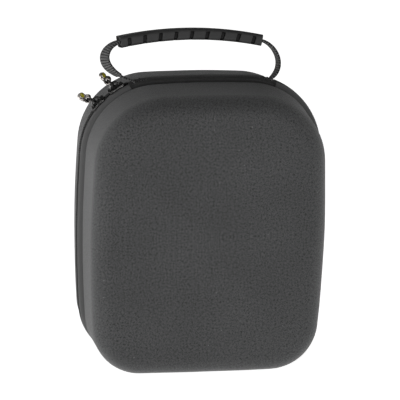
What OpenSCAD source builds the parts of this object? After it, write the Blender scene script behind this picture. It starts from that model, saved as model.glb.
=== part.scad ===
// Headphone carrying case: two moulded half shells with a fabric hinge along the top end,
// a zipper round the other three sides, and a webbing handle with a rubber grip.
// It stands upright: +Z up, the lid's front faces -Y, and z = 0 is the end it stands on.

/* [Outline] */
// Gently bowed run of each long side from its middle up to the top corner
side_run = 50; // [45:0.5:60]
// The same run from its middle down to the bottom corner
bottom_run = 69.5; // [60:0.5:75]
// Half of the crowned run along the top end
top_run = 34.25; // [30:0.25:38]
// Radius of the two top corners
corner_r = 50; // [46:1:54]
// Radius of the two bottom corners
bottom_corner_r = 35; // [31:1:40]
// Bow radius of the long sides
side_bow_r = 900; // [700:50:1500]
// Crown radius of the top end
top_crown_r = 700; // [500:50:1500]
// Crown radius of the end it stands on
bottom_crown_r = 4000; // [3000:500:8000]

/* [Half shells] */
// Depth from the zipper plane to the flat back
base_depth = 52; // [46:1:60]
// Depth from the zipper plane to the crown of the front
lid_depth = 52; // [46:1:60]
// Rise of the lid's crowned front above its shoulder
lid_crown = 2; // [1:0.5:3]
// Radius of the shoulder between wall and front
shoulder_r = 14; // [11:1:16]
// Mould draft of the walls, over their depth
draft = 1; // [0.5:0.25:1.5]
// Half of the gap between the two rims, which the zipper and hinge fill
rim_y = 7; // [6.6:0.1:7.4]
// Thickness of the outer fabric
cover_t = 0.8; // [0.6:0.1:1]
// Thickness of the moulded foam core
core_t = 3.2; // [2.5:0.1:4]
// Thickness of the lining
lining_t = 0.8; // [0.6:0.1:1]

/* [Zipper] */
// How far the coil stands out beyond the rims
bulge = 3.6; // [3:0.1:4]
// How far the coil is pressed in under the standing case
tuck = 0.5; // [0.4:0.1:1]
// Angle of the upper slider from straight up, round the upper left corner
upper_slider_at = 32; // [31:1:33]
// Angle of the lower slider from straight up
lower_slider_at = 49; // [48:1:52]

/* [Handle] */
// Angle from straight up at which the fabric hinge ends in each upper corner
hinge_end = 21.75; // [20:0.25:23]
// Height of the grip's middle above the handle's pivot
grip_rise = 31.5; // [28:0.5:34]
// Half length of the grip
grip_half = 49.5; // [44:0.5:52]
// How far the grip hangs to one side of the anchors' middle at rest
handle_shift = -8.5; // [-10:0.5:0]
// How far the handle leans back at rest
handle_lean = 10; // [6:1:12]
// Width of the webbing
webbing_w = 13; // [11:0.5:13]
// Thickness of the webbing
webbing_t = 1.8; // [1.4:0.1:2.2]

/* [Hidden] */
$fn = 96;

// Outline: five arcs on each side, each tangent to the next; the bottom corners are tighter
side_a = asin(side_run / side_bow_r);
top_a = asin(top_run / top_crown_r);
corner_x = (top_crown_r - corner_r) * sin(top_a);
corner_z = side_run - corner_r * sin(side_a);
half_w = corner_x + side_bow_r * (1 - cos(side_a)) + corner_r * cos(side_a);
bottom_side_a = asin(bottom_run / side_bow_r);
bottom_corner_x = half_w - side_bow_r * (1 - cos(bottom_side_a)) - bottom_corner_r * cos(bottom_side_a);
bottom_corner_z = bottom_run - bottom_corner_r * sin(bottom_side_a);
bottom_a = asin(bottom_corner_x / (bottom_crown_r - bottom_corner_r));
top_h = corner_z + top_crown_r - (top_crown_r - corner_r) * cos(top_a);
bottom_h = bottom_corner_z + bottom_crown_r - (bottom_crown_r - bottom_corner_r) * cos(bottom_a);
mid_z = bottom_h;
hinge_z = mid_z + top_h;

shell_steps = 8;
track_steps = 16;
shoulder_steps = 4;
crown_scales = [0.6, 0.25];
thread_gap = 0.05;
end_gap = 0.4;

core_in = cover_t + core_t;
wall_t = core_in + lining_t;
binding_t = 0.7;
binding_w = 8;
binding_drop = draft * binding_w / (lid_depth - lid_crown - shoulder_r - rim_y);

coil_t = 1.6;
coil_inner_y = 0.6;
coil_outer_y = 3.0;
tape_t = 0.65;
tape_flat_y = 4.6;
tape_edge_y = rim_y - 0.05;
bulge_from_z = 3;
bulge_full_z = 46;

slider_len = 11.8;
slider_half_w = 5;
slider_gap = 0.5;
plate_t = 1.2;
neck_w = 0.8;
bridge_w = 3;
bridge_r = 3.9;
bridge_t = 1.2;
pivot_above_plate = 1.3;
plate_top = bulge + slider_gap + plate_t;
inner_plate_top = bulge - coil_t - thread_gap - tape_t - slider_gap;
pivot_r = corner_r + plate_top + pivot_above_plate;
link_wire = 1.3;
link_len = 7;
link_w = 7.4;
tab_eye_z = 4.95;
tab_eye_r = 2.5;
tab_bore_r = 1.75;
tab_len = 13;
tab_w = 8.4;
tab_t = 2.4;
tab_twist = 22;
inlay_t = 0.6;
lower_lean = 24;
upper_lean = 20;

hinge_lining_t = 0.7;
band_half_w = 4.7;
band_t = 0.8;
band_rise = 3.4;
run_w = 7.4;
run_t = 1;
handle_z = hinge_z + 0.5;
anchor_x = 48.5;
anchor_rise = -0.4;
anchor_cut_r = 10.8;
cut_gap = 0.3;
grip_w = 19;
grip_t = 8;
grip_round = 2.4;
grip_sag = 5;
grip_arc_r = (pow(grip_half, 2) + pow(grip_sag, 2)) / (2 * grip_sag);
grip_half_a = asin(grip_half / grip_arc_r);
grip_channel_gap = 0.25;
slot_count = 9;
slot_pitch_a = grip_half_a * 2 / 9.1;
slot_w = 2.4;
slot_depth = 1.8;
pocket_y = 11;
pocket_t = 0.8;
pocket_h = 96;
pad_w = 58;
pad_h = 104;
pad_t = 22;

fabric_c = "#3c3c3e";
lining_c = "#1f1f21";
foam_c = "#2b2b2b";
tape_c = "#303032";
coil_c = "#141416";
webbing_c = "#2a2a2c";
rubber_c = "#383839";
gunmetal_c = "#26262a";
nickel_c = "#a8a4a0";
enamel_c = "#d8c818";

// A point of the outline pushed out by off, where the outward normal is n degrees up from +X: [x, z]
function edge_point(n, off) =
    let (
        across = cos(n) < 0 ? -1 : 1,
        up = sin(n) < 0 ? -1 : 1,
        steep = atan2(abs(sin(n)), abs(cos(n))),
        end_a = up > 0 ? top_a : bottom_a,
        end_r = up > 0 ? top_crown_r : bottom_crown_r,
        end_h = up > 0 ? top_h : bottom_h,
        on_side = steep < (up > 0 ? side_a : bottom_side_a),
        on_end = steep > 90 - end_a,
        corner = up > 0 ? [corner_x, corner_z] : [bottom_corner_x, bottom_corner_z],
        centre = on_side ? [half_w - side_bow_r, 0] : on_end ? [0, end_h - end_r] : corner,
        radius = on_side ? side_bow_r : on_end ? end_r : up > 0 ? corner_r : bottom_corner_r
    )
    [
        across * (centre[0] + (radius + off) * cos(steep)),
        mid_z + up * (centre[1] + (radius + off) * sin(steep))
    ];

// The normal angles sampled in one quarter of the outline, from the side towards the end
function quarter_angles(side, end_a, steps) = [
    0,
    side / 2,
    for (i = [0:steps]) side + (90 - end_a - side) * i / steps,
    90 - end_a / 2
];

// The same angles counted back from the end to the side, leaving out the side's own middle
function reversed(angles) = [for (i = [len(angles) - 1:-1:1]) angles[i]];

// All the normal angles once round the outline
function round_angles(steps) =
    let (
        upper = quarter_angles(side_a, top_a, steps),
        lower = quarter_angles(bottom_side_a, bottom_a, steps)
    )
    [
        each upper,
        90,
        for (a = reversed(upper)) 180 - a,
        for (a = lower) 180 + a,
        270,
        for (a = reversed(lower)) 360 - a
    ];

shell_angles = round_angles(shell_steps);
track_all = round_angles(track_steps);
track_first = 90 + hinge_end + end_gap;
track_last = 450 - hinge_end - end_gap;
track_angles = [
    track_first,
    for (a = track_all) if (a > track_first + 1) a,
    for (a = track_all) if (a + 360 < track_last - 1) a + 360,
    track_last
];
hinge_angles = [
    for (i = [0:5]) 90 - hinge_end + (hinge_end - top_a) * i / 5,
    90 - top_a / 2,
    90,
    90 + top_a / 2,
    for (i = [0:5]) 90 + top_a + (hinge_end - top_a) * i / 5
];

// One ring of a half shell, at a depth, pushed out by off, shrunk about the middle and let down
function ring(depth, off, shrink = 1, drop = 0) = [
    for (n = shell_angles)
        let (p = edge_point(n, off))
        [shrink * p[0], depth, mid_z + shrink * (p[1] - mid_z) - drop]
];

// The rings of one surface of a half shell, from its rim to its front, inset from the outside
function shell_rings(depth, inset, crown) =
    let (wall_end = depth - crown - shoulder_r)
    [
        ring(rim_y, -inset),
        for (i = [0:shoulder_steps])
            let (a = 90 * i / shoulder_steps)
            ring(
                wall_end + (shoulder_r - inset) * sin(a),
                -draft - shoulder_r + (shoulder_r - inset) * cos(a),
                1,
                draft
            ),
        if (crown > 0)
            for (s = crown_scales) ring(depth - inset - crown * pow(s, 2), -draft - shoulder_r, s, draft)
    ];

// A closed skin over rings of points: capped at both ends, or looped back to its first ring
module skin(rings, looped = false) {
    count = len(rings);
    sides = len(rings[0]);
    walls = [
        for (i = [0:looped ? count - 1 : count - 2], j = [0:sides - 1])
            let (
                next_ring = ((i + 1) % count) * sides,
                next_side = (j + 1) % sides
            )
            each [
                [i * sides + j, next_ring + next_side, i * sides + next_side],
                [i * sides + j, next_ring + j, next_ring + next_side]
            ]
    ];
    first_cap = [for (j = [0:sides - 1]) j];
    last_cap = [for (j = [sides - 1:-1:0]) (count - 1) * sides + j];
    polyhedron(
        points = [for (r = rings) each r],
        faces = looped ? walls : concat(walls, [first_cap, last_cap]),
        convexity = 8
    );
}

// One layer of a half shell, between two insets, with its mouth towards the zipper
module shell_layer(depth, outer, inner, crown) {
    inside = shell_rings(depth, inner, crown);
    skin([
        for (i = [len(inside) - 1:-1:0]) inside[i],
        each shell_rings(depth, outer, crown)
    ]);
}

// The binding tape sewn round the inside of a rim
module rim_binding() {
    inner = -wall_t - thread_gap - binding_t;
    outer = -wall_t - thread_gap;
    skin([
        ring(rim_y, inner),
        ring(rim_y, outer),
        ring(rim_y + binding_w, outer - binding_drop, 1, binding_drop),
        ring(rim_y + binding_w, inner - binding_drop, 1, binding_drop)
    ], looped = true);
}

// How far out the coil's back stands at a normal angle: full at the sides, tucked in at the bottom
function coil_out(n) =
    let (
        rise = (edge_point(n, 0)[1] - bulge_from_z) / (bulge_full_z - bulge_from_z),
        part = min(1, max(0, rise)),
        eased = part * part * (3 - 2 * part)
    )
    -tuck + (bulge + tuck) * eased;

// A strip along the outline: section(n) gives its corners as [depth, off]
module strip(angles, sections) {
    skin([
        for (i = [0:len(angles) - 1]) [
            for (corner = sections[i])
                let (p = edge_point(angles[i], corner[1]))
                [p[0], corner[0], p[1]]
        ]
    ]);
}

// One side's zipper tape: flat under the coil, then down to the rim
module zipper_tape() {
    strip(track_angles, [
        for (n = track_angles)
            let (top = coil_out(n) - coil_t - thread_gap)
            [
                [coil_inner_y, top - tape_t],
                [coil_inner_y, top],
                [tape_flat_y, top],
                [tape_edge_y, -0.3],
                [tape_edge_y, -0.3 - tape_t],
                [tape_flat_y - 0.2, top - tape_t]
            ]
    ]);
}

// One side's row of coil teeth, as the bar that they fill
module zipper_coil() {
    strip(track_angles, [
        for (n = track_angles)
            let (out = coil_out(n))
            [
                [coil_inner_y, out - coil_t],
                [coil_inner_y, out - 0.3],
                [coil_inner_y + 0.3, out],
                [coil_outer_y - 0.6, out],
                [coil_outer_y, out - 0.6],
                [coil_outer_y, out - coil_t]
            ]
    ]);
}

// A strip that follows the hinge, the same all along
module hinge_strip(section) {
    strip(hinge_angles, [for (n = hinge_angles) section]);
}

module base_cover() {
    color(fabric_c) shell_layer(base_depth, 0, cover_t, 0);
}

module base_shell() {
    color(foam_c) shell_layer(base_depth, cover_t, core_in, 0);
}

module base_lining() {
    color(lining_c) shell_layer(base_depth, core_in, wall_t, 0);
}

module base_binding() {
    color(tape_c) rim_binding();
}

module base_zipper_tape() {
    color(tape_c) zipper_tape();
}

module base_zipper_coil() {
    color(coil_c) zipper_coil();
}

// The fabric-covered island between the ear cups, round-ended, on the floor of the base
module cradle_pad() {
    straight = pad_h - pad_w;
    color(lining_c)
        translate([0, base_depth - wall_t - thread_gap, mid_z])
            rotate([90, 0, 0])
                linear_extrude(height = pad_t) {
                    square([pad_w, straight], center = true);
                    for (s = [-1, 1])
                        translate([0, s * straight / 2])
                            circle(d = pad_w);
                }
}

// The hinge's outer fabric, arched from one rim to the other
module hinge_cover() {
    edge = rim_y - 0.1;
    color(tape_c)
        hinge_strip([
            [-edge, -1],
            [-edge, -0.2],
            [-band_half_w - 0.3, 1.1],
            [band_half_w + 0.3, 1.1],
            [edge, -0.2],
            [edge, -1],
            [band_half_w, 0.3],
            [-band_half_w, 0.3]
        ]);
}

// The raised band over the sewn-down webbing
module hinge_band() {
    top = band_rise;
    low = 1.15;
    inner = band_half_w - band_t;
    color(tape_c)
        hinge_strip([
            [-band_half_w, low],
            [-band_half_w, low + 1],
            [-band_half_w + 1.6, top],
            [band_half_w - 1.6, top],
            [band_half_w, low + 1],
            [band_half_w, low],
            [inner, low + 0.1],
            [inner, top - band_t],
            [-inner, top - band_t],
            [-inner, low + 0.1]
        ]);
}

module hinge_lining() {
    edge = rim_y - 0.1;
    color(lining_c)
        hinge_strip([
            [-edge, -1.1 - hinge_lining_t],
            [-edge, -1.1],
            [-band_half_w, 0.2],
            [band_half_w, 0.2],
            [edge, -1.1],
            [edge, -1.1 - hinge_lining_t],
            [band_half_w, 0.2 - hinge_lining_t],
            [-band_half_w, 0.2 - hinge_lining_t]
        ]);
}

module lid_cover() {
    color(fabric_c) mirror([0, 1, 0]) shell_layer(lid_depth, 0, cover_t, lid_crown);
}

module lid_shell() {
    color(foam_c) mirror([0, 1, 0]) shell_layer(lid_depth, cover_t, core_in, lid_crown);
}

module lid_lining() {
    color(lining_c) mirror([0, 1, 0]) shell_layer(lid_depth, core_in, wall_t, lid_crown);
}

module lid_binding() {
    color(tape_c) mirror([0, 1, 0]) rim_binding();
}

module lid_zipper_tape() {
    color(tape_c) mirror([0, 1, 0]) zipper_tape();
}

module lid_zipper_coil() {
    color(coil_c) mirror([0, 1, 0]) zipper_coil();
}

// The part of the lid's mouth inside an offset and between two heights, at a depth
module mouth_sheet(off, low, high, depth, thickness) {
    translate([0, -depth, 0])
        rotate([90, 0, 0])
            linear_extrude(height = thickness)
                intersection() {
                    polygon([for (n = shell_angles) edge_point(n, off)]);
                    translate([-half_w, low])
                        square([2 * half_w, high - low]);
                }
}

pocket_off = -wall_t - 2 * thread_gap - binding_t - 0.2;
elastic_h = 7;
elastic_t = 1.4;
pocket_edge_w = 3;
pocket_edge_t = 0.8;

// The net across the lower half of the lid
module mesh_pocket() {
    color(coil_c) mouth_sheet(pocket_off, 0, pocket_h, pocket_y, pocket_t);
}

// The elastic hem along the net's top edge
module pocket_elastic() {
    color(webbing_c)
        mouth_sheet(pocket_off, pocket_h + thread_gap, pocket_h + elastic_h, pocket_y - 0.3, elastic_t);
}

// The tape that holds the net's lower edge to the lining
module pocket_binding() {
    color(tape_c)
        difference() {
            mouth_sheet(pocket_off, 0, pocket_h, pocket_y - pocket_edge_t - thread_gap, pocket_edge_t);
            mouth_sheet(pocket_off - pocket_edge_w, 0, pocket_h + 1, 0, pocket_y);
        }
}

// Places things in the handle's own plane: pivot at the origin, grip straight up, leaning back
module in_handle() {
    translate([0, 0, handle_z])
        rotate([-handle_lean, 0, 0])
            children();
}

// A point of a cubic Bezier curve
function bezier(a, b, c, d, t) =
    pow(1 - t, 3) * a + 3 * pow(1 - t, 2) * t * b + 3 * (1 - t) * t * t * c + pow(t, 3) * d;

// The webbing's middle line on one side: half of the grip's arch, then the free loop to the anchor.
// Distances are measured outwards on either side.
grip_end_z = grip_rise - grip_sag;
function side_route(side) =
    let (shift = side * handle_shift)
    [
        for (i = [0:6])
            let (a = grip_half_a * i / 6)
            [grip_arc_r * sin(a) + shift, grip_rise - grip_arc_r * (1 - cos(a))],
        for (i = [1:14])
            bezier(
                [grip_half + shift, grip_end_z], [61 + shift, grip_end_z - 2.6],
                [68 + shift, 8], [anchor_x, anchor_rise], i / 14
            )
    ];
left_route = side_route(-1);
right_route = side_route(1);
webbing_route = [
    for (i = [len(left_route) - 1:-1:1]) [-left_route[i][0], left_route[i][1]],
    each right_route
];

// The direction along a route at one of its points
function along(route, i) =
    let (
        d = route[min(i + 1, len(route) - 1)] - route[max(i - 1, 0)]
    )
    d / norm(d);

// A route moved sideways by a distance
function beside(route, distance) = [
    for (i = [0:len(route) - 1])
        let (d = along(route, i))
        route[i] + distance * [-d[1], d[0]]
];

// The whole webbing loop above the anchors, before it is cut at the pivot's circle
module webbing_loop() {
    one_side = beside(webbing_route, webbing_t / 2);
    other_side = beside(webbing_route, -webbing_t / 2);
    in_handle()
        rotate([90, 0, 0])
            linear_extrude(height = webbing_w, center = true)
                polygon([each one_side, for (i = [len(other_side) - 1:-1:0]) other_side[i]]);
}

// A round bar about the handle's pivot, as long as the case is wide
module pivot_bar(radius) {
    in_handle()
        rotate([0, 90, 0])
            cylinder(r = radius, h = 2 * half_w, center = true);
}

module handle_webbing() {
    color(webbing_c)
        difference() {
            webbing_loop();
            pivot_bar(anchor_cut_r + cut_gap);
        }
}

// The webbing's sewn ends, and its run under the hinge's band from end to end
module webbing_anchors() {
    color(webbing_c) {
        intersection() {
            webbing_loop();
            pivot_bar(anchor_cut_r);
        }
        hinge_strip([
            [-run_w / 2, 1.15],
            [-run_w / 2, 1.15 + run_t],
            [run_w / 2, 1.15 + run_t],
            [run_w / 2, 1.15]
        ]);
    }
}

// Two bars of stitches across the band at each end, which hold the webbing down
module anchor_stitches() {
    color(coil_c)
        for (side = [-1, 1], turn = [hinge_end - 5.5, hinge_end - 9])
            translate([side * corner_x, 0, mid_z + corner_z])
                rotate([0, side * turn, 0])
                    translate([0, 0, corner_r + band_rise + thread_gap + 0.25])
                        cube([0.7, 2 * band_half_w - 3.6, 0.5], center = true);
}

// The grip's cross-section: a rounded bar with a slit for the webbing
module grip_section() {
    half_t = grip_t / 2;
    half_gw = grip_w / 2;
    difference() {
        union() {
            square([grip_t, grip_w - 2 * grip_round], center = true);
            square([grip_t - 2 * grip_round, grip_w], center = true);
            for (x = [-1, 1], y = [-1, 1])
                translate([x * (half_t - grip_round), y * (half_gw - grip_round)])
                    circle(r = grip_round);
        }
        square([webbing_t + 2 * grip_channel_gap, webbing_w + 2 * grip_channel_gap], center = true);
    }
}

// Places things about the centre of the grip's arch, turned a degrees from its middle
module at_arch(a) {
    in_handle()
        translate([handle_shift, 0, grip_rise - grip_arc_r])
            rotate([0, a, 0])
                children();
}

// The moulded rubber grip, arched, with slots down its front and back faces
module handle_grip() {
    slot_h = grip_t;
    color(rubber_c)
        difference() {
            in_handle()
                translate([handle_shift, 0, grip_rise - grip_arc_r])
                    rotate([90, 0, 0])
                        rotate([0, 0, 90 - grip_half_a])
                            rotate_extrude(angle = 2 * grip_half_a, $fn = 360)
                                translate([grip_arc_r, 0])
                                    grip_section();
            for (i = [0:slot_count - 1], face = [-1, 1])
                at_arch((i - (slot_count - 1) / 2) * slot_pitch_a)
                    translate([0, face * (grip_w / 2), grip_arc_r + grip_t / 2 - grip_round - slot_h / 2])
                        cube([slot_w, 2 * slot_depth, slot_h], center = true);
        }
}

// Places things about the upper left corner's centre, turned psi degrees from straight up
module at_track(psi) {
    translate([-corner_x, 0, mid_z + corner_z])
        rotate([0, -psi, 0])
            children();
}

// A bar curved along the track: its middle at psi, between two radii beyond the rim and two depths
module track_bar(psi, length, low, high, depth_from, depth_to) {
    a = length / (corner_r + bulge) * 180 / PI;
    translate([-corner_x, 0, mid_z + corner_z])
        rotate([90, 0, 0])
            rotate([0, 0, 90 + psi - a / 2])
                rotate_extrude(angle = a, $fn = 180)
                    translate([corner_r + low, -depth_to])
                        square([high - low, depth_to - depth_from]);
}

// A slider: outer and inner plates, the neck between them at its head, one flange and the bridge
module slider(psi, head) {
    flange_t = 0.7;
    flange_drop = 1;
    neck_len = 2.4;
    head_turn = head * (slider_len - neck_len) / 2 / (corner_r + bulge) * 180 / PI;
    outer_low = bulge + slider_gap;
    color(gunmetal_c)
        union() {
            track_bar(psi, slider_len, outer_low, plate_top, -slider_half_w, slider_half_w);
            track_bar(
                psi, slider_len, inner_plate_top - plate_t, inner_plate_top,
                -slider_half_w + 0.8, slider_half_w - 0.8
            );
            track_bar(
                psi + head_turn, neck_len, inner_plate_top - 0.1, outer_low + 0.1,
                -neck_w / 2, neck_w / 2
            );
            track_bar(
                psi, slider_len, outer_low - flange_drop, outer_low + 0.1,
                slider_half_w - flange_t, slider_half_w
            );
            at_track(psi)
                translate([0, 0, corner_r + plate_top - 0.15])
                    rotate([90, 0, 0])
                        linear_extrude(height = bridge_w, center = true)
                            difference() {
                                circle(r = bridge_r);
                                circle(r = bridge_r - bridge_t);
                                translate([-bridge_r - 1, -bridge_r - 1])
                                    square([2 * bridge_r + 2, bridge_r + 1]);
                            }
        }
}

// Places things at a slider's pull pivot, with +Z along the pull
module at_pivot(psi, lean) {
    at_track(psi)
        translate([0, 0, pivot_r])
            rotate([0, -lean, 0])
                children();
}

// The small ring that joins a pull to its slider's bridge
module pull_link(psi, lean) {
    color(gunmetal_c)
        at_pivot(psi, lean)
            rotate([90, 0, 90])
                linear_extrude(height = link_wire, center = true)
                    difference() {
                        translate([-link_w / 2, -link_wire / 2])
                            square([link_w, link_len]);
                        translate([-link_w / 2 + link_wire, link_wire / 2])
                            square([link_w - 2 * link_wire, link_len - 2 * link_wire]);
                    }
}

// The flat outline of a pull's broad end, drawn in width and length
module tab_outline(inset) {
    round_r = tab_w / 2 - inset;
    top = tab_len - tab_w / 2;
    foot = tab_eye_z + tab_eye_r - 0.6 + inset;
    intersection() {
        union() {
            translate([0, top])
                circle(r = round_r);
            translate([-round_r + 0.7, foot])
                square([2 * round_r - 1.4, top - foot]);
        }
        translate([-tab_w, foot])
            square([2 * tab_w, tab_len]);
    }
}

// Places things on the twisted broad part of a pull
module on_tab(psi, lean) {
    at_pivot(psi, lean)
        rotate([0, 0, -tab_twist])
            rotate([90, 0, 90])
                children();
}

// A cast pull: an eye round the link's far bar, and a flat tab with a shallow recess in its front
module pull(psi, lean) {
    eye_w = 4;
    color(nickel_c)
        difference() {
            union() {
                on_tab(psi, lean)
                    linear_extrude(height = tab_t, center = true)
                        tab_outline(0);
                at_pivot(psi, lean)
                    rotate([0, 0, -tab_twist])
                        translate([0, 0, link_len - link_wire])
                            rotate([90, 0, 0])
                                cylinder(r = tab_eye_r, h = eye_w, center = true);
            }
            at_pivot(psi, lean)
                rotate([0, 0, -tab_twist])
                    translate([0, 0, link_len - link_wire])
                        rotate([90, 0, 0])
                            cylinder(r = tab_bore_r, h = tab_w + 2, center = true);
            on_tab(psi, lean)
                translate([0, 0, tab_t / 2 - inlay_t + thread_gap])
                    linear_extrude(height = inlay_t)
                        tab_outline(1.2);
        }
}

// The enamel that fills a pull's recess
module pull_inlay(psi, lean) {
    color(enamel_c)
        on_tab(psi, lean)
            translate([0, 0, tab_t / 2 - inlay_t + 2 * thread_gap])
                linear_extrude(height = inlay_t)
                    tab_outline(1.25);
}

module slider_lower() {
    slider(lower_slider_at, -1);
}

module link_lower() {
    pull_link(lower_slider_at, lower_lean);
}

module pull_lower() {
    pull(lower_slider_at, lower_lean);
}

module pull_inlay_lower() {
    pull_inlay(lower_slider_at, lower_lean);
}

module slider_upper() {
    slider(upper_slider_at, 1);
}

module link_upper() {
    pull_link(upper_slider_at, upper_lean);
}

module pull_upper() {
    pull(upper_slider_at, upper_lean);
}

module pull_inlay_upper() {
    pull_inlay(upper_slider_at, upper_lean);
}

base_cover();
base_shell();
base_lining();
base_binding();
base_zipper_tape();
base_zipper_coil();
cradle_pad();
hinge_cover();
hinge_band();
hinge_lining();
webbing_anchors();
anchor_stitches();
lid_cover();
lid_shell();
lid_lining();
lid_binding();
lid_zipper_tape();
lid_zipper_coil();
mesh_pocket();
pocket_elastic();
pocket_binding();
handle_webbing();
handle_grip();
slider_lower();
link_lower();
pull_lower();
pull_inlay_lower();
slider_upper();
link_upper();
pull_upper();
pull_inlay_upper();
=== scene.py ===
"""The looks of a hard-shell headphone case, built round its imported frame.

Every length is in metres, in the frame's axes: +Z up towards the handle, -Y out of the lid's front.
"""

import logging
from dataclasses import dataclass, field
from enum import Enum

import bpy
import numpy as np
from mathutils import Matrix, Vector


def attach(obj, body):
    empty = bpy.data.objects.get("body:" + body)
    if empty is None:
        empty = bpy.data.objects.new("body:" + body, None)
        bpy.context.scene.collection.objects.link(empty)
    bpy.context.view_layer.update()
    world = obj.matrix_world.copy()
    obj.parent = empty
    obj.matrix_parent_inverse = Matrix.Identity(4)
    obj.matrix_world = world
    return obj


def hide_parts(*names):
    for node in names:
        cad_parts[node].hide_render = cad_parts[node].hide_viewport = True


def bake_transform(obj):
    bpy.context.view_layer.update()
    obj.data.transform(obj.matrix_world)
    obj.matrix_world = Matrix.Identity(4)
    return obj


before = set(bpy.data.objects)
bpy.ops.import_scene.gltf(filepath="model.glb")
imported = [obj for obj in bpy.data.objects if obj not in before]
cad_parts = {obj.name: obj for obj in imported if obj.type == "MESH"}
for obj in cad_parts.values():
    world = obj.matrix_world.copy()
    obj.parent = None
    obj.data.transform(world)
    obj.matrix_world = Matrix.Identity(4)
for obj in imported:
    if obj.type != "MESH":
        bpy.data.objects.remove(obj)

MM = 0.001
log = logging.getLogger("case")


# ---------------------------------------------------------------- mesh code


def closed_rings(rings: np.ndarray) -> np.ndarray:
    """The rings with their first point repeated at the end of each.

    Args:
        rings: points, shape (rows, sides, k).

    Returns:
        Points, shape (rows, sides + 1, k).
    """
    return np.concatenate([rings, rings[:, :1]], axis=1)


def unrolled(rings: np.ndarray, looped: bool) -> np.ndarray:
    """UVs in metres: u is the distance round each ring, v the mean distance from ring to ring.

    Args:
        rings: points, shape (rows, sides, 3).
        looped: whether the last ring joins the first.

    Returns:
        UVs, shape (rows + looped, sides + 1, 2).
    """
    across = closed_rings(rings)
    if looped:
        across = np.concatenate([across, across[:1]])
    u = np.cumsum(np.linalg.norm(np.diff(across, axis=1), axis=2), axis=1)
    u = np.concatenate([np.zeros((len(across), 1)), u], axis=1)
    step = np.linalg.norm(np.diff(across, axis=0), axis=2).mean(axis=1)
    v = np.concatenate([[0.0], np.cumsum(step)])
    return np.stack([u, np.repeat(v[:, None], u.shape[1], axis=1)], axis=2)


def skin(name: str, rings: np.ndarray, looped: bool = False, uv: np.ndarray | None = None,
         sharp: float = 40.0) -> bpy.types.Object:
    """A closed smooth mesh over rings of points, capped at both ends unless looped.

    Args:
        name: the piece's name.
        rings: points, shape (rows, sides, 3), each ring closed on itself.
        looped: whether the last ring joins the first, as on a hoop.
        uv: UVs, shape (rows + looped, sides + 1, 2), or None for the unrolled ones.
        sharp: edges bent by more than this, in degrees, are shaded sharp.

    Returns:
        The new object, with outward faces.
    """
    rows, sides = rings.shape[:2]
    uv = unrolled(rings, looped) if uv is None else uv
    i, j = np.meshgrid(np.arange(rows if looped else rows - 1), np.arange(sides), indexing="ij")
    i, j = i.ravel(), j.ravel()
    following, beside = (i + 1) % rows, (j + 1) % sides
    quads = np.stack([i * sides + j, i * sides + beside, following * sides + beside, following * sides + j],
                     1)
    corner_uv = np.stack([uv[i, j], uv[i, j + 1], uv[i + 1, j + 1], uv[i + 1, j]], 1)
    a, b, c, d = (rings.reshape(-1, 3)[quads[:, k]] for k in range(4))
    middle = rings.reshape(-1, 3).mean(axis=0)
    volume = np.einsum("ij,ij->", a - middle, np.cross(b - middle, c - middle))
    volume += np.einsum("ij,ij->", a - middle, np.cross(c - middle, d - middle))
    faces = quads.tolist()
    corners = corner_uv.reshape(-1, 2)
    if not looped:
        first = rings[0] - middle
        last = rings[-1] - middle
        volume -= np.cross(first, np.roll(first, -1, axis=0)).sum(axis=0) @ first.mean(axis=0)
        volume += np.cross(last, np.roll(last, -1, axis=0)).sum(axis=0) @ last.mean(axis=0)
        faces.append(list(range(sides))[::-1])
        faces.append(list(range((rows - 1) * sides, rows * sides)))
        corners = np.concatenate([corners, uv[0, :sides][::-1], uv[-1, :sides]])
    mesh = bpy.data.meshes.new(name)
    mesh.from_pydata(rings.reshape(-1, 3).tolist(), [], faces)
    layer = mesh.uv_layers.new(name="UVMap")
    layer.data.foreach_set("uv", np.ascontiguousarray(corners, dtype=np.float32).ravel())
    if volume < 0:
        mesh.flip_normals()
    mesh.polygons.foreach_set("use_smooth", np.ones(len(mesh.polygons), dtype=bool))
    mesh.set_sharp_from_angle(angle=np.radians(sharp))
    piece = bpy.data.objects.new(name, mesh)
    bpy.context.scene.collection.objects.link(piece)
    return piece


def merged(name: str, pieces: list[bpy.types.Object]) -> bpy.types.Object:
    """Several pieces made one object with a name; the first keeps its mesh and takes in the rest.

    Args:
        name: the name of the whole.
        pieces: the pieces; all but the first are used up.

    Returns:
        The joined object.
    """
    bpy.ops.object.select_all(action="DESELECT")
    for piece in pieces:
        piece.select_set(True)
    bpy.context.view_layer.objects.active = pieces[0]
    if len(pieces) > 1:
        bpy.ops.object.join()
    pieces[0].name = name
    pieces[0].data.name = name
    return pieces[0]


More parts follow.
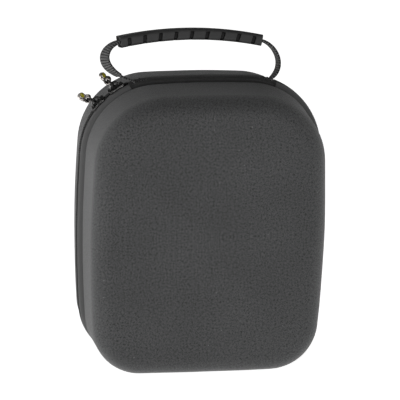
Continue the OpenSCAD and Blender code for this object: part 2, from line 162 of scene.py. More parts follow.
def repeated(name: str, ring_sets: np.ndarray, sharp: float = 50.0) -> bpy.types.Object:
    """Many equal closed solids in one mesh, such as teeth or stitches.

    Args:
        name: the piece's name.
        ring_sets: points, shape (copies, rows, sides, 3); each copy is capped at both ends.
        sharp: edges bent by more than this, in degrees, are shaded sharp.

    Returns:
        The new object.
    """
    copies, rows, sides = ring_sets.shape[:3]
    i, j = np.meshgrid(np.arange(rows - 1), np.arange(sides), indexing="ij")
    i, j = i.ravel(), j.ravel()
    beside = (j + 1) % sides
    quads = np.stack([i * sides + j, i * sides + beside, (i + 1) * sides + beside, (i + 1) * sides + j], 1)
    starts = np.arange(copies) * rows * sides
    walls = (quads[None] + starts[:, None, None]).reshape(-1, 4)
    first = np.arange(sides)[::-1][None] + starts[:, None]
    last = np.arange((rows - 1) * sides, rows * sides)[None] + starts[:, None]
    mesh = bpy.data.meshes.new(name)
    mesh.from_pydata(ring_sets.reshape(-1, 3).tolist(), [], walls.tolist() + first.tolist() + last.tolist())
    one = ring_sets[0]
    middle = one.reshape(-1, 3).mean(axis=0)
    a, b, c = (one.reshape(-1, 3)[quads[:, k]] - middle for k in range(3))
    if np.einsum("ij,ij->", a, np.cross(b, c)) < 0:
        mesh.flip_normals()
    mesh.polygons.foreach_set("use_smooth", np.ones(len(mesh.polygons), dtype=bool))
    mesh.set_sharp_from_angle(angle=np.radians(sharp))
    piece = bpy.data.objects.new(name, mesh)
    bpy.context.scene.collection.objects.link(piece)
    return piece


def rounded_box(width: float, height: float, radius: float, corner: int = 5, side: int = 1) -> np.ndarray:
    """A rectangle with quarter-circle corners, as one closed ring.

    Args:
        width: full size along the first axis.
        height: full size along the second axis.
        radius: corner radius.
        corner: steps round each corner.
        side: steps along each straight side.

    Returns:
        Points, shape (n, 2), counter-clockwise from the lower right corner's start.
    """
    turn = np.linspace(0.0, np.pi / 2, corner + 1)
    centres = np.array([[1, -1], [1, 1], [-1, 1], [-1, -1]]) * [width / 2 - radius, height / 2 - radius]
    arcs = []
    for k, centre in enumerate(centres):
        angle = turn + (k - 1) * np.pi / 2
        arcs.append(centre + radius * np.stack([np.cos(angle), np.sin(angle)], 1))
    ring = []
    for k, arc in enumerate(arcs):
        ring.append(arc)
        along = np.linspace(0.0, 1.0, side + 1)[1:-1, None]
        ring.append(arc[-1] + along * (arcs[(k + 1) % 4][0] - arc[-1]))
    return np.concatenate(ring)


def swept(path: np.ndarray, across: np.ndarray, out: np.ndarray, section: np.ndarray) -> np.ndarray:
    """A section carried along a path: point = path + section[0] * across + section[1] * out.

    Args:
        path: points, shape (n, 3).
        across: unit vectors for the section's first axis, shape (n, 3).
        out: unit vectors for its second axis, shape (n, 3).
        section: shape (m, 2), or (n, m, 2) where it changes along the path.

    Returns:
        Rings, shape (n, m, 3).
    """
    if section.ndim == 2:
        section = np.repeat(section[None], len(path), axis=0)
    return path[:, None] + section[..., :1] * across[:, None] + section[..., 1:] * out[:, None]


def smooth_step(x: np.ndarray) -> np.ndarray:
    """0 below 0, 1 above 1, and 3x^2 - 2x^3 between."""
    x = np.clip(x, 0.0, 1.0)
    return x * x * (3 - 2 * x)


# ---------------------------------------------------------------- the case's outline


@dataclass(frozen=True)
class Outline:
    """The outline of the case seen from the front: bowed sides, crowned ends and round corners.

    Each quarter is three circular arcs, each tangent to the next, so a parallel outline further out
    has the same centres and larger radii.
    """

    side_run: float = 50 * MM
    bottom_run: float = 69.5 * MM
    top_run: float = 34.25 * MM
    corner_r: float = 50 * MM
    bottom_corner_r: float = 35 * MM
    side_bow_r: float = 900 * MM
    top_crown_r: float = 700 * MM
    bottom_crown_r: float = 4000 * MM

    @property
    def side_a(self) -> float:
        """The angle of a side's arc above its middle."""
        return float(np.arcsin(self.side_run / self.side_bow_r))

    @property
    def bottom_side_a(self) -> float:
        """The angle of a side's arc below its middle."""
        return float(np.arcsin(self.bottom_run / self.side_bow_r))

    @property
    def top_a(self) -> float:
        """Half the angle of the top's arc."""
        return float(np.arcsin(self.top_run / self.top_crown_r))

    @property
    def corner(self) -> np.ndarray:
        """The upper right corner's centre, from the outline's middle."""
        x = (self.top_crown_r - self.corner_r) * np.sin(self.top_a)
        return np.array([x, self.side_run - self.corner_r * np.sin(self.side_a)])

    @property
    def bottom_corner(self) -> np.ndarray:
        """The lower right corner's centre, across from and down from the outline's middle."""
        x = (self.half_w - self.side_bow_r * (1 - np.cos(self.bottom_side_a))
             - self.bottom_corner_r * np.cos(self.bottom_side_a))
        return np.array([x, self.bottom_run - self.bottom_corner_r * np.sin(self.bottom_side_a)])

    @property
    def bottom_a(self) -> float:
        """Half the angle of the bottom's arc."""
        return float(np.arcsin(self.bottom_corner[0] / (self.bottom_crown_r - self.bottom_corner_r)))

    @property
    def half_w(self) -> float:
        """Half the width at the middle."""
        return float(self.corner[0] + self.side_bow_r * (1 - np.cos(self.side_a))
                     + self.corner_r * np.cos(self.side_a))

    @property
    def top_h(self) -> float:
        """Height of the top above the middle."""
        return float(self.corner[1] + self.top_crown_r
                     - (self.top_crown_r - self.corner_r) * np.cos(self.top_a))

    @property
    def mid_z(self) -> float:
        """Height of the middle above the surface that the case stands on."""
        return float(self.bottom_corner[1] + self.bottom_crown_r
                     - (self.bottom_crown_r - self.bottom_corner_r) * np.cos(self.bottom_a))

    @property
    def hinge_z(self) -> float:
        """Height of the top of the rims, where the hinge's two axes lie."""
        return self.mid_z + self.top_h

    def at(self, normal: np.ndarray, off: np.ndarray | float) -> np.ndarray:
        """Points of the outline pushed out: arc centre + (arc radius + off) * normal direction.

        Args:
            normal: the outward normal's angle up from +X, in radians.
            off: how far out of the outline, broadcast against normal.

        Returns:
            x and z, in a new last axis.
        """
        normal, off = np.broadcast_arrays(np.asarray(normal, float), np.asarray(off, float))
        across = np.where(np.cos(normal) < 0, -1.0, 1.0)
        up = np.where(np.sin(normal) < 0, -1.0, 1.0)
        steep = np.arctan2(np.abs(np.sin(normal)), np.abs(np.cos(normal)))
        upper = up > 0
        end_a = np.where(upper, self.top_a, self.bottom_a)
        end_r = np.where(upper, self.top_crown_r, self.bottom_crown_r)
        end_h = np.where(upper, self.top_h, self.mid_z)
        side = steep < np.where(upper, self.side_a, self.bottom_side_a)
        end = steep > np.pi / 2 - end_a
        corner_r = np.where(upper, self.corner_r, self.bottom_corner_r)
        corner_x = np.where(upper, self.corner[0], self.bottom_corner[0])
        corner_z = np.where(upper, self.corner[1], self.bottom_corner[1])
        radius = np.where(side, self.side_bow_r, np.where(end, end_r, corner_r))
        centre_x = np.where(side, self.half_w - self.side_bow_r, np.where(end, 0.0, corner_x))
        centre_z = np.where(side, 0.0, np.where(end, end_h - end_r, corner_z))
        x = across * (centre_x + (radius + off) * np.cos(steep))
        z = self.mid_z + up * (centre_z + (radius + off) * np.sin(steep))
        return np.stack([x, z], axis=-1)

    def normals(self, side: int, corner: int, end: int) -> np.ndarray:
        """Normal angles once round, from +X, with so many steps to half a side, a corner, half an end.

        Args:
            side: steps to half a side.
            corner: steps to a corner.
            end: steps to half an end.

        Returns:
            The angles, rising, shape (n,).
        """
        def quarter(side_a: float, end_a: float) -> np.ndarray:
            """One quarter's angles, from the side's middle to just before the end's middle."""
            return np.concatenate([
                np.linspace(0, side_a, side, endpoint=False),
                np.linspace(side_a, np.pi / 2 - end_a, corner, endpoint=False),
                np.linspace(np.pi / 2 - end_a, np.pi / 2, end, endpoint=False),
            ])
        upper, lower = quarter(self.side_a, self.top_a), quarter(self.bottom_side_a, self.bottom_a)
        return np.concatenate([
            upper, [np.pi / 2], np.pi - upper[:0:-1],
            np.pi + lower, [1.5 * np.pi], 2 * np.pi - lower[:0:-1],
        ])


OUTLINE = Outline()
RIM_Y = 7 * MM
HINGE_END = np.radians(21.75)
BULGE = 3.6 * MM
TUCK = 0.5 * MM
COIL_T = 1.6 * MM


def coil_out(normal: np.ndarray) -> np.ndarray:
    """How far out the coil's back stands: full at the sides, eased to tucked in at the bottom."""
    low, high = 3 * MM, 46 * MM
    rise = (OUTLINE.at(normal, 0.0)[..., 1] - low) / (high - low)
    return -TUCK + (BULGE + TUCK) * smooth_step(rise)


def on_outline(normal: np.ndarray, depth: np.ndarray | float, off: np.ndarray | float) -> np.ndarray:
    """Points in space: the outline's x and z at an offset, at a depth along Y."""
    xz = OUTLINE.at(normal, off)
    y = np.broadcast_to(depth, xz.shape[:-1])
    return np.stack([xz[..., 0], y, xz[..., 1]], axis=-1)


def outward(normal: np.ndarray) -> np.ndarray:
    """Unit vectors out of the outline, in space."""
    return np.stack([np.cos(normal), np.zeros_like(normal), np.sin(normal)], axis=-1)


def even_normals(first: float, last: float, step: float, off: float) -> np.ndarray:
    """Normal angles whose points are evenly spaced along the outline.

    Args:
        first: the first normal angle.
        last: the last one, beyond it.
        step: the spacing along the outline.
        off: the offset at which it is measured.

    Returns:
        The angles, from first to last.
    """
    fine = np.linspace(first, last, 24001)
    run = np.linalg.norm(np.diff(OUTLINE.at(fine, off), axis=0), axis=1)
    run = np.concatenate([[0.0], np.cumsum(run)])
    count = int(round(run[-1] / step))
    return np.interp(np.linspace(0, run[-1], count + 1), run, fine)


# ---------------------------------------------------------------- shader code


class Wiring:
    """A node tree being wired: a material's or a group's."""

    def __init__(self, tree: bpy.types.NodeTree) -> None:
        """Takes over a node tree."""
        self.tree = tree

    def node(self, kind: str, inputs: dict | None = None, **settings: object) -> bpy.types.Node:
        """Adds a node.

        Args:
            kind: the node type's name without its ShaderNode prefix.
            inputs: input name or number to a socket, a number or a tuple.
            settings: the node's own properties.

        Returns:
            The node.
        """
        node = self.tree.nodes.new(kind if kind.startswith("NodeGroup") else "ShaderNode" + kind)
        for name, value in settings.items():
            setattr(node, name, value)
        for key, value in (inputs or {}).items():
            self.feed(node.inputs[key], value)
        return node

    def feed(self, socket: bpy.types.NodeSocket, value: object) -> None:
        """Links a socket into an input, or sets the input to a value."""
        if isinstance(value, bpy.types.NodeSocket):
            self.tree.links.new(value, socket)
        else:
            socket.default_value = value

    def math(self, operation: str, a: object, b: object = 0.0) -> bpy.types.NodeSocket:
        """A Math node's result for two sockets or numbers."""
        return self.node("Math", {0: a, 1: b}, operation=operation).outputs[0]

    def blend(self, factor: object, a: object, b: object) -> bpy.types.NodeSocket:
        """The colour a part of the way from a to b."""
        node = self.node("Mix", data_type="RGBA")
        for socket, value in ((0, factor), (6, a), (7, b)):
            self.feed(node.inputs[socket], value)
        return node.outputs[2]

    def remap(self, value: object, low: float, high: float, to_low: float = 0.0,
              to_high: float = 1.0) -> bpy.types.NodeSocket:
        """A value stretched from one range to another, and clamped."""
        inputs = {"Value": value, "From Min": low, "From Max": high, "To Min": to_low, "To Max": to_high}
        return self.node("MapRange", inputs).outputs[0]

    def noise(self, vector: object, scale: float, detail: float = 3.0,
              rough: float = 0.5) -> bpy.types.NodeSocket:
        """A noise texture's value."""
        inputs = {"Vector": vector, "Scale": scale, "Detail": detail, "Roughness": rough}
        return self.node("TexNoise", inputs).outputs["Fac"]


class Effect:
    """A shared effect as a node group, built once."""

    inputs: dict[str, object] = {}
    outputs: tuple[str, ...] = ()
    made: dict[str, bpy.types.NodeTree] = {}

    @classmethod
    def wire(cls, w: Wiring, given: dict[str, bpy.types.NodeSocket]) -> dict[str, bpy.types.NodeSocket]:
        """Wires the effect's inside.

        Args:
            w: the group's wiring.
            given: the group's input sockets by name.

        Returns:
            A socket for each output.
        """
        raise NotImplementedError

    @classmethod
    def place(cls, w: Wiring, **values: object) -> bpy.types.Node:
        """Places the effect in a material with its own values, and returns the group node.

        Args:
            w: the wiring of the material.
            values: what to feed each input, by its name.

        Returns:
            The group node.
        """
        name = cls.__name__.lower()
        tree = Effect.made.get(name)
        if tree is None:
            tree = bpy.data.node_groups.new(name, "ShaderNodeTree")
            Effect.made[name] = tree
            for label, default in cls.inputs.items():
                kind = "NodeSocketVector" if default is None else "NodeSocketFloat"
                socket = tree.interface.new_socket(label, in_out="INPUT", socket_type=kind)
                if default is not None:
                    socket.default_value = default
            for label in cls.outputs:
                tree.interface.new_socket(label, in_out="OUTPUT", socket_type="NodeSocketFloat")
            inner = Wiring(tree)
            entry, leave = inner.node("NodeGroupInput"), inner.node("NodeGroupOutput")
            made = cls.wire(inner, {label: entry.outputs[label] for label in cls.inputs})
            for label, socket in made.items():
                inner.feed(leave.inputs[label], socket)
        group = w.node("Group", node_tree=tree)
        for label, value in values.items():
            w.feed(group.inputs[label.replace("_", " ").title()], value)
        return group


class Weave(Effect):
    """Plain weave: at each crossing the thread on top is a rounded ridge that dips at both its ends."""

    inputs = {"Vector": None, "Threads": 1000.0}
    outputs = ("Height", "Over")

    @classmethod
    def wire(cls, w: Wiring, given: dict[str, bpy.types.NodeSocket]) -> dict[str, bpy.types.NodeSocket]:
        """Height is the cosine across the top thread times half a cosine along it; Over is the top one."""
        scaled = w.node("VectorMath", {0: given["Vector"], "Scale": given["Threads"]}, operation="SCALE")
        wander = w.noise(given["Vector"], 140.0, 2.0)
        parts = w.node("SeparateXYZ", {0: scaled.outputs[0]})
        ridges, cells = [], []
        for axis in (0, 1):
            place = w.math("ADD", parts.outputs[axis], w.math("MULTIPLY", wander, 0.5))
            cells.append(w.math("FLOOR", place))
            part = w.math("SUBTRACT", w.math("FRACT", place), 0.5)
            ridges.append(w.math("COSINE", w.math("MULTIPLY", part, np.pi)))
        over = w.math("MODULO", w.math("ABSOLUTE", w.math("ADD", cells[0], cells[1])), 2.0)
        heights = [w.math("MULTIPLY", ridges[k], w.remap(ridges[1 - k], 0.0, 1.0, 0.5, 1.0)) for k in (0, 1)]
        first = w.math("MULTIPLY", over, heights[0])
        second = w.math("MULTIPLY", w.math("SUBTRACT", 1.0, over), heights[1])
        return {"Height": w.math("ADD", first, second), "Over": over}


class Slub(Effect):
    """Uneven yarn: faint streaks of thicker thread, crossing each other on both diagonals."""

    inputs = {"Vector": None, "Fine": 1000.0, "Long": 420.0}
    outputs = ("Streak",)

    @classmethod
    def wire(cls, w: Wiring, given: dict[str, bpy.types.NodeSocket]) -> dict[str, bpy.types.NodeSocket]:
        """Streak is the mean of two noises, each stretched along one diagonal of U and V."""
        parts = w.node("SeparateXYZ", {0: given["Vector"]})
        rising = w.math("ADD", parts.outputs[0], parts.outputs[1])
        falling = w.math("SUBTRACT", parts.outputs[0], parts.outputs[1])
        streaks = []
        for fine, long in ((rising, falling), (falling, rising)):
            stretched = w.node("CombineXYZ", {
                0: w.math("MULTIPLY", fine, given["Fine"]), 1: w.math("MULTIPLY", long, given["Long"]),
            })
            streaks.append(w.noise(stretched.outputs[0], 1.0, 1.0))
        return {"Streak": w.math("MULTIPLY", w.math("ADD", streaks[0], streaks[1]), 0.5)}


class Ribs(Effect):
    """Ribs across a strap: rounded ridges along V, each broken into yarns along U."""

    inputs = {"Vector": None, "Ribs": 770.0, "Yarns": 1100.0}
    outputs = ("Height",)

    @classmethod
    def wire(cls, w: Wiring, given: dict[str, bpy.types.NodeSocket]) -> dict[str, bpy.types.NodeSocket]:
        """Height is |sin| of V times a shallower |sin| of U, stepped by half a yarn from rib to rib."""
        parts = w.node("SeparateXYZ", {0: given["Vector"]})
        along = w.math("MULTIPLY", parts.outputs[1], given["Ribs"])
        rib = w.math("ABSOLUTE", w.math("SINE", w.math("MULTIPLY", along, np.pi)))
        step = w.math("MULTIPLY", w.math("MODULO", w.math("FLOOR", along), 2.0), 0.5)
        across = w.math("ADD", w.math("MULTIPLY", parts.outputs[0], given["Yarns"]), step)
        yarn = w.math("ABSOLUTE", w.math("SINE", w.math("MULTIPLY", across, np.pi)))
        return {"Height": w.math("MULTIPLY", rib, w.remap(yarn, 0.0, 1.0, 0.55, 1.0))}


class Twill(Effect):
    """Herringbone tape: slanting ribs whose slant turns round every few millimetres."""

    inputs = {"Vector": None, "Ribs": 900.0, "Turns": 160.0}
    outputs = ("Height",)

    @classmethod
    def wire(cls, w: Wiring, given: dict[str, bpy.types.NodeSocket]) -> dict[str, bpy.types.NodeSocket]:
        """Height is |sin| of V plus a zigzag of U."""
        parts = w.node("SeparateXYZ", {0: given["Vector"]})
        zigzag = w.math("PINGPONG", w.math("MULTIPLY", parts.outputs[0], given["Turns"]), 1.0)
        slant = w.math("ADD", w.math("MULTIPLY", parts.outputs[1], given["Ribs"]),
                       w.math("MULTIPLY", zigzag, 3.0))
        return {"Height": w.math("ABSOLUTE", w.math("SINE", w.math("MULTIPLY", slant, np.pi)))}


class Mottle(Effect):
    """Slow changes of shade over a surface, and a scatter of pale lint specks."""

    inputs = {"Vector": None}
    outputs = ("Cloud", "Lint")

    @classmethod
    def wire(cls, w: Wiring, given: dict[str, bpy.types.NodeSocket]) -> dict[str, bpy.types.NodeSocket]:
        """Cloud is broad noise; Lint is 1 inside a few small voronoi cells' hearts."""
        vector = given["Vector"]
        cell = w.node("TexVoronoi", {"Vector": vector, "Scale": 230.0, "Randomness": 1.0})
        near = w.math("LESS_THAN", cell.outputs["Distance"], 0.085)
        chosen = w.math("GREATER_THAN", w.node("SeparateColor", {0: cell.outputs["Color"]}).outputs[0], 0.9)
        return {"Cloud": w.noise(vector, 22.0, 4.0), "Lint": w.math("MULTIPLY", near, chosen)}


class Grain(Effect):
    """The fine pebbled grain of moulded rubber or a cast surface."""

    inputs = {"Vector": None, "Size": 1800.0}
    outputs = ("Height", "Patch")

    @classmethod
    def wire(cls, w: Wiring, given: dict[str, bpy.types.NodeSocket]) -> dict[str, bpy.types.NodeSocket]:
        """Height is fine noise over pebbles; Patch is broad noise for uneven gloss."""
        scaled = w.node("VectorMath", {0: given["Vector"], "Scale": given["Size"]},
                        operation="SCALE").outputs[0]
        pebble = w.node("TexVoronoi", {"Vector": scaled, "Scale": 1.0},
                        feature="SMOOTH_F1").outputs["Distance"]
        height = w.math("ADD", w.math("MULTIPLY", pebble, 0.7), w.math("MULTIPLY", w.noise(scaled, 2.0), 0.5))
        return {"Height": height, "Patch": w.noise(given["Vector"], 90.0, 3.0)}


class EdgeWear(Effect):
    """Where edges are rubbed bright: a mask from how convex the surface is, broken up by noise."""

    inputs = {"Vector": None, "Amount": 0.5}
    outputs = ("Worn",)

    @classmethod
    def wire(cls, w: Wiring, given: dict[str, bpy.types.NodeSocket]) -> dict[str, bpy.types.NodeSocket]:
        """Worn is the convexity above its middle, times noise, times the amount."""
        convex = w.remap(w.node("NewGeometry").outputs["Pointiness"], 0.52, 0.62)
        patchy = w.remap(w.noise(given["Vector"], 900.0, 4.0), 0.35, 0.65)
        return {"Worn": w.math("MULTIPLY", w.math("MULTIPLY", convex, patchy), given["Amount"])}


Colour = tuple[float, float, float, float]


def grey(value: float, warm: float = 0.0) -> Colour:
    """A grey of a linear value, a little warm or, below zero, cool."""
    return (value * (1 + warm), value, value * (1 - warm), 1.0)


@dataclass(frozen=True)
class Finish:
    """A surface finish: the common part of every material."""

    name: str
    colour: Colour
    roughness: float = 0.8
    bump: float = 0.3
    bump_depth: float = 0.2 * MM
    sheen: float = 0.0
    metallic: float = 0.0
    coat: float = 0.0
    specular: float = 0.5

    def material(self) -> bpy.types.Material:
        """The finished material, built at its first use."""
        found = bpy.data.materials.get(self.name)
        if found:
            return found
        material = bpy.data.materials.new(self.name)
        material.use_nodes = True
        w = Wiring(material.node_tree)
        shader = material.node_tree.nodes["Principled BSDF"]
        fixed = {"Metallic": self.metallic, "Sheen Weight": self.sheen, "Sheen Roughness": 0.45,
                 "Coat Weight": self.coat, "Coat Roughness": 0.12, "Specular IOR Level": self.specular}
        for label, value in fixed.items():
            shader.inputs[label].default_value = value
        made = self.wire(w)
        w.feed(shader.inputs["Base Color"], made["colour"])
        w.feed(shader.inputs["Roughness"], made["roughness"])
        if "alpha" in made:
            w.feed(shader.inputs["Alpha"], made["alpha"])
        bump = w.node("Bump", {"Strength": self.bump, "Distance": self.bump_depth, "Height": made["height"]})
        w.feed(shader.inputs["Normal"], bump.outputs["Normal"])
        return material

    def wire(self, w: Wiring) -> dict[str, bpy.types.NodeSocket]:
        """Wires the pattern and returns sockets for colour, roughness and height, and alpha where holed."""
        raise NotImplementedError

    @staticmethod
    def uv(w: Wiring) -> bpy.types.NodeSocket:
        """The piece's UV map, in metres."""
        return w.node("UVMap", uv_map="UVMap").outputs[0]

    @staticmethod
    def place(w: Wiring) -> bpy.types.NodeSocket:
        """Object coordinates, in metres."""
        return w.node("TexCoord").outputs["Object"]


@dataclass(frozen=True)
class WovenCloth(Finish):
    """Tight plain-woven cloth, such as the case's ballistic cover."""

    threads: float = 1250.0
    lint: float = 0.5
    slub: float = 0.5
    uneven: float = 0.25

    def wire(self, w: Wiring) -> dict[str, bpy.types.NodeSocket]:
        """Darker between threads and in broad patches; lint a paler dot; rougher where it is low."""
        uv, place = self.uv(w), self.place(w)
        weave = Weave.place(w, vector=uv, threads=self.threads)
        mottle = Mottle.place(w, vector=place)
        dark = tuple(0.3 * c for c in self.colour[:3]) + (1.0,)
        light = tuple(1.35 * c for c in self.colour[:3]) + (1.0,)
        thread = w.blend(w.remap(weave.outputs["Height"], 0.1, 0.9), dark, light)
        over = w.blend(w.math("MULTIPLY", weave.outputs["Over"], 0.18), thread, light)
        streak = Slub.place(w, vector=uv).outputs["Streak"]
        over = w.blend(w.remap(streak, 0.36, 0.64, self.slub, 0.0), over, dark)
        over = w.blend(w.remap(streak, 0.36, 0.64, 0.0, self.slub), over, light)
        fade = w.remap(mottle.outputs["Cloud"], 0.3, 0.7, self.uneven, 0.0)
        patched = w.blend(fade, over, dark)
        colour = w.blend(w.math("MULTIPLY", mottle.outputs["Lint"], self.lint), patched,
                         (0.32, 0.32, 0.32, 1.0))
        rough = w.remap(weave.outputs["Height"], 0.0, 1.0, min(1.0, self.roughness + 0.12), self.roughness)
        height = w.math("ADD", weave.outputs["Height"], w.math("MULTIPLY", streak, 1.2))
        return {"colour": colour, "roughness": rough, "height": height}


@dataclass(frozen=True)
class RibbedStrap(Finish):
    """Heavy webbing with ribs across it."""

    ribs: float = 560.0
    yarns: float = 700.0
    shade: float = 0.06

    def wire(self, w: Wiring) -> dict[str, bpy.types.NodeSocket]:
        """Darker between ribs and yarns, with fuzz of fine noise."""
        ribs = Ribs.place(w, vector=self.uv(w), ribs=self.ribs, yarns=self.yarns)
        fuzz = w.noise(self.place(w), 2600.0, 2.0)
        dark = tuple(self.shade * c for c in self.colour[:3]) + (1.0,)
        height = w.math("ADD", ribs.outputs["Height"], w.math("MULTIPLY", fuzz, 0.25))
        colour = w.blend(w.remap(height, 0.5, 1.0), dark, self.colour)
        rough = w.remap(fuzz, 0.3, 0.7, self.roughness - 0.08, self.roughness + 0.08)
        return {"colour": colour, "roughness": rough, "height": height}


@dataclass(frozen=True)
class TwillTape(Finish):
    """Herringbone tape, as on a zipper or a binding."""

    ribs: float = 1100.0

    def wire(self, w: Wiring) -> dict[str, bpy.types.NodeSocket]:
        """Darker between ribs, with slow changes of shade."""
        twill = Twill.place(w, vector=self.uv(w), ribs=self.ribs, turns=260.0)
        mottle = Mottle.place(w, vector=self.place(w))
        dark = tuple(0.5 * c for c in self.colour[:3]) + (1.0,)
        fade = w.remap(mottle.outputs["Cloud"], 0.3, 0.7, 0.7, 1.0)
        colour = w.blend(w.math("MULTIPLY", twill.outputs["Height"], fade), dark, self.colour)
        colour = w.blend(w.math("MULTIPLY", mottle.outputs["Lint"], 0.4), colour, (0.3, 0.3, 0.3, 1.0))
        rough = w.remap(twill.outputs["Height"], 0.0, 1.0, self.roughness + 0.1, self.roughness)
        return {"colour": colour, "roughness": rough, "height": twill.outputs["Height"]}


@dataclass(frozen=True)
class BrushedPile(Finish):
    """Short brushed pile, as on the lining."""

    def wire(self, w: Wiring) -> dict[str, bpy.types.NodeSocket]:
        """Fibres of stretched fine noise, laid over in broad strokes."""
        place = self.place(w)
        laid = w.node("Mapping", {"Vector": place, "Scale": (1.0, 1.0, 0.35)}).outputs[0]
        fibre = w.noise(laid, 3200.0, 3.0, 0.7)
        stroke = w.noise(place, 38.0, 3.0)
        dark = tuple(0.5 * c for c in self.colour[:3]) + (1.0,)
        light = tuple(1.5 * c for c in self.colour[:3]) + (1.0,)
        tone = w.math("ADD", w.math("MULTIPLY", fibre, 0.6), w.math("MULTIPLY", stroke, 0.4))
        rough = w.remap(stroke, 0.3, 0.7, self.roughness - 0.1, self.roughness + 0.05)
        return {"colour": w.blend(w.remap(tone, 0.35, 0.65), dark, light), "roughness": rough,
                "height": fibre}


# Name of the grip's per-point attribute that carries painted shade: how deep each point lies in a slot.
PAINTED_SLOT_SHADE = "recess"


@dataclass(frozen=True)
class Moulded(Finish):
    """Moulded rubber, foam or plastic with a fine grain, rubbed a little at its edges."""

    grain: float = 1800.0
    wear: float = 0.3

    def wire(self, w: Wiring) -> dict[str, bpy.types.NodeSocket]:
        """Grain in the bump, uneven gloss, and paler worn edges."""
        place = self.place(w)
        grain = Grain.place(w, vector=place, size=self.grain)
        worn = EdgeWear.place(w, vector=place, amount=self.wear)
        dark = tuple(0.75 * c for c in self.colour[:3]) + (1.0,)
        pale = tuple(min(1.0, 1.9 * c + 0.01) for c in self.colour[:3]) + (1.0,)
        base = w.blend(w.remap(grain.outputs["Patch"], 0.3, 0.7), dark, self.colour)
        colour = w.blend(worn.outputs["Worn"], base, pale)
        rough = w.remap(grain.outputs["Patch"], 0.3, 0.7, self.roughness - 0.09, self.roughness + 0.07)
        return {"colour": colour, "roughness": rough, "height": grain.outputs["Height"]}


@dataclass(frozen=True)
class SlotShadedRubber(Moulded):
    """Moulded rubber with painted shade down in its slots: near black where a point lies deep in a slot."""

    def wire(self, w: Wiring) -> dict[str, bpy.types.NodeSocket]:
        """As moulded rubber, with painted shade: darkened by the mesh's own measure of how deep a point lies
        in a slot.
        """
        made = super().wire(w)
        # Painted shade: the colour goes towards near black where the point lies deep in a slot.
        deep = w.node("Attribute", attribute_name=PAINTED_SLOT_SHADE).outputs["Fac"]
        made["colour"] = w.blend(deep, made["colour"], (0.003, 0.003, 0.003, 1.0))
        return made


@dataclass(frozen=True)
class CastMetal(Finish):
    """Plated cast metal: faint casting waviness, fine scratches and rubbed edges."""

    bright: Colour = (0.8, 0.78, 0.76, 1.0)
    wear: float = 0.6

    def wire(self, w: Wiring) -> dict[str, bpy.types.NodeSocket]:
        """Scratches are noise stretched along Z; worn edges turn to the bright metal under the plating."""
        place = self.place(w)
        worn = EdgeWear.place(w, vector=place, amount=self.wear)
        drawn = w.node("Mapping", {"Vector": place, "Scale": (1.0, 1.0, 0.08)}).outputs[0]
        scratch = w.noise(drawn, 2400.0, 4.0, 0.65)
        wave = w.noise(place, 420.0, 2.0)
        tint = tuple(0.8 * c for c in self.colour[:3]) + (1.0,)
        base = w.blend(w.remap(wave, 0.3, 0.7), tint, self.colour)
        rough = w.remap(scratch, 0.35, 0.7, max(0.05, self.roughness - 0.08), self.roughness + 0.14)
        height = w.math("ADD", w.math("MULTIPLY", scratch, 0.3), wave)
        return {"colour": w.blend(worn.outputs["Worn"], base, self.bright), "roughness": rough,
                "height": height}


COVER_CLOTH = WovenCloth("ballistic_cover", grey(0.079, -0.012), 0.72, 0.6, 0.2 * MM, 0.35, threads=960.0,
                         slub=0.9,
                         specular=0.3)
LINING_PILE = BrushedPile("lining_pile", grey(0.022), 0.85, 0.5, 0.3 * MM, 0.5)
PAD_PILE = BrushedPile("pad_pile", grey(0.03), 0.85, 0.5, 0.3 * MM, 0.5)
FOAM = Moulded("cut_foam", grey(0.03), 0.9, 0.6, 0.4 * MM, grain=900.0, wear=0.0)
ZIP_TAPE = TwillTape("zip_tape", grey(0.11), 0.75, 0.4, 0.12 * MM, 0.3)
HINGE_TAPE = WovenCloth("hinge_cloth", grey(0.035), 0.75, 0.5, 0.14 * MM, 0.25, threads=1500.0, lint=0.3)
BINDING_TAPE = TwillTape("binding_tape", grey(0.028), 0.8, 0.4, 0.12 * MM, 0.25)
STRAP = RibbedStrap("ribbed_strap", grey(0.15), 0.75, 1.0, 0.6 * MM, 0.2, specular=0.15)
ELASTIC = RibbedStrap("elastic_hem", grey(0.04), 0.7, 0.8, 0.3 * MM, 0.2, ribs=900.0, yarns=1700.0)
THREAD = Moulded("bonded_thread", grey(0.024), 0.5, 0.6, 0.1 * MM, 0.2, grain=2600.0, wear=0.2)
COIL = Moulded("glossy_coil", grey(0.012), 0.34, 0.2, 0.05 * MM, grain=2500.0, wear=0.15)
# The grip's rubber, with painted shade in its slots.
GRIP_RUBBER = SlotShadedRubber("slot_shaded_rubber", grey(0.054), 0.5, 0.22, 0.08 * MM, grain=2600.0, wear=0.25,
                            specular=0.2)
GUNMETAL = CastMetal("black_nickel", grey(0.05, 0.01), 0.2, 0.12, 0.08 * MM, metallic=1.0,
                     bright=(0.35, 0.34, 0.33, 1.0), wear=0.5)
NICKEL = CastMetal("tumbled_nickel", (0.62, 0.58, 0.55, 1.0), 0.3, 0.18, 0.1 * MM, metallic=1.0)
ENAMEL = Moulded("poured_enamel", (0.9, 0.78, 0.02, 1.0), 0.24, 0.1, 0.04 * MM, coat=0.6, grain=700.0,
                 wear=0.1)


class Dresser:
    """Places finished pieces on the frame and logs each one."""

    count = 0

    @classmethod
    def dress(cls, piece: bpy.types.Object, finish: Finish, slot: str, nodes: tuple[str, ...] = (),
              body: str | None = None) -> bpy.types.Object:
        """Gives a piece its material, the CAD nodes it stands for and its body.

        Args:
            piece: the piece, in place.
            finish: its finish.
            slot: the record's material slot; not used.
            nodes: the CAD nodes that it stands for.
            body: the body that it rides on, or None to leave it on no body.

        Returns:
            The piece.
        """
        piece.data.materials.clear()
        piece.data.materials.append(finish.material())
        if nodes:
            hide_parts(*nodes)
        if body:
            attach(piece, body)
        cls.count += 1
        log.info("%s: %d faces, %s", piece.name, len(piece.data.polygons), finish.name)
        return piece


# ---------------------------------------------------------------- the shells


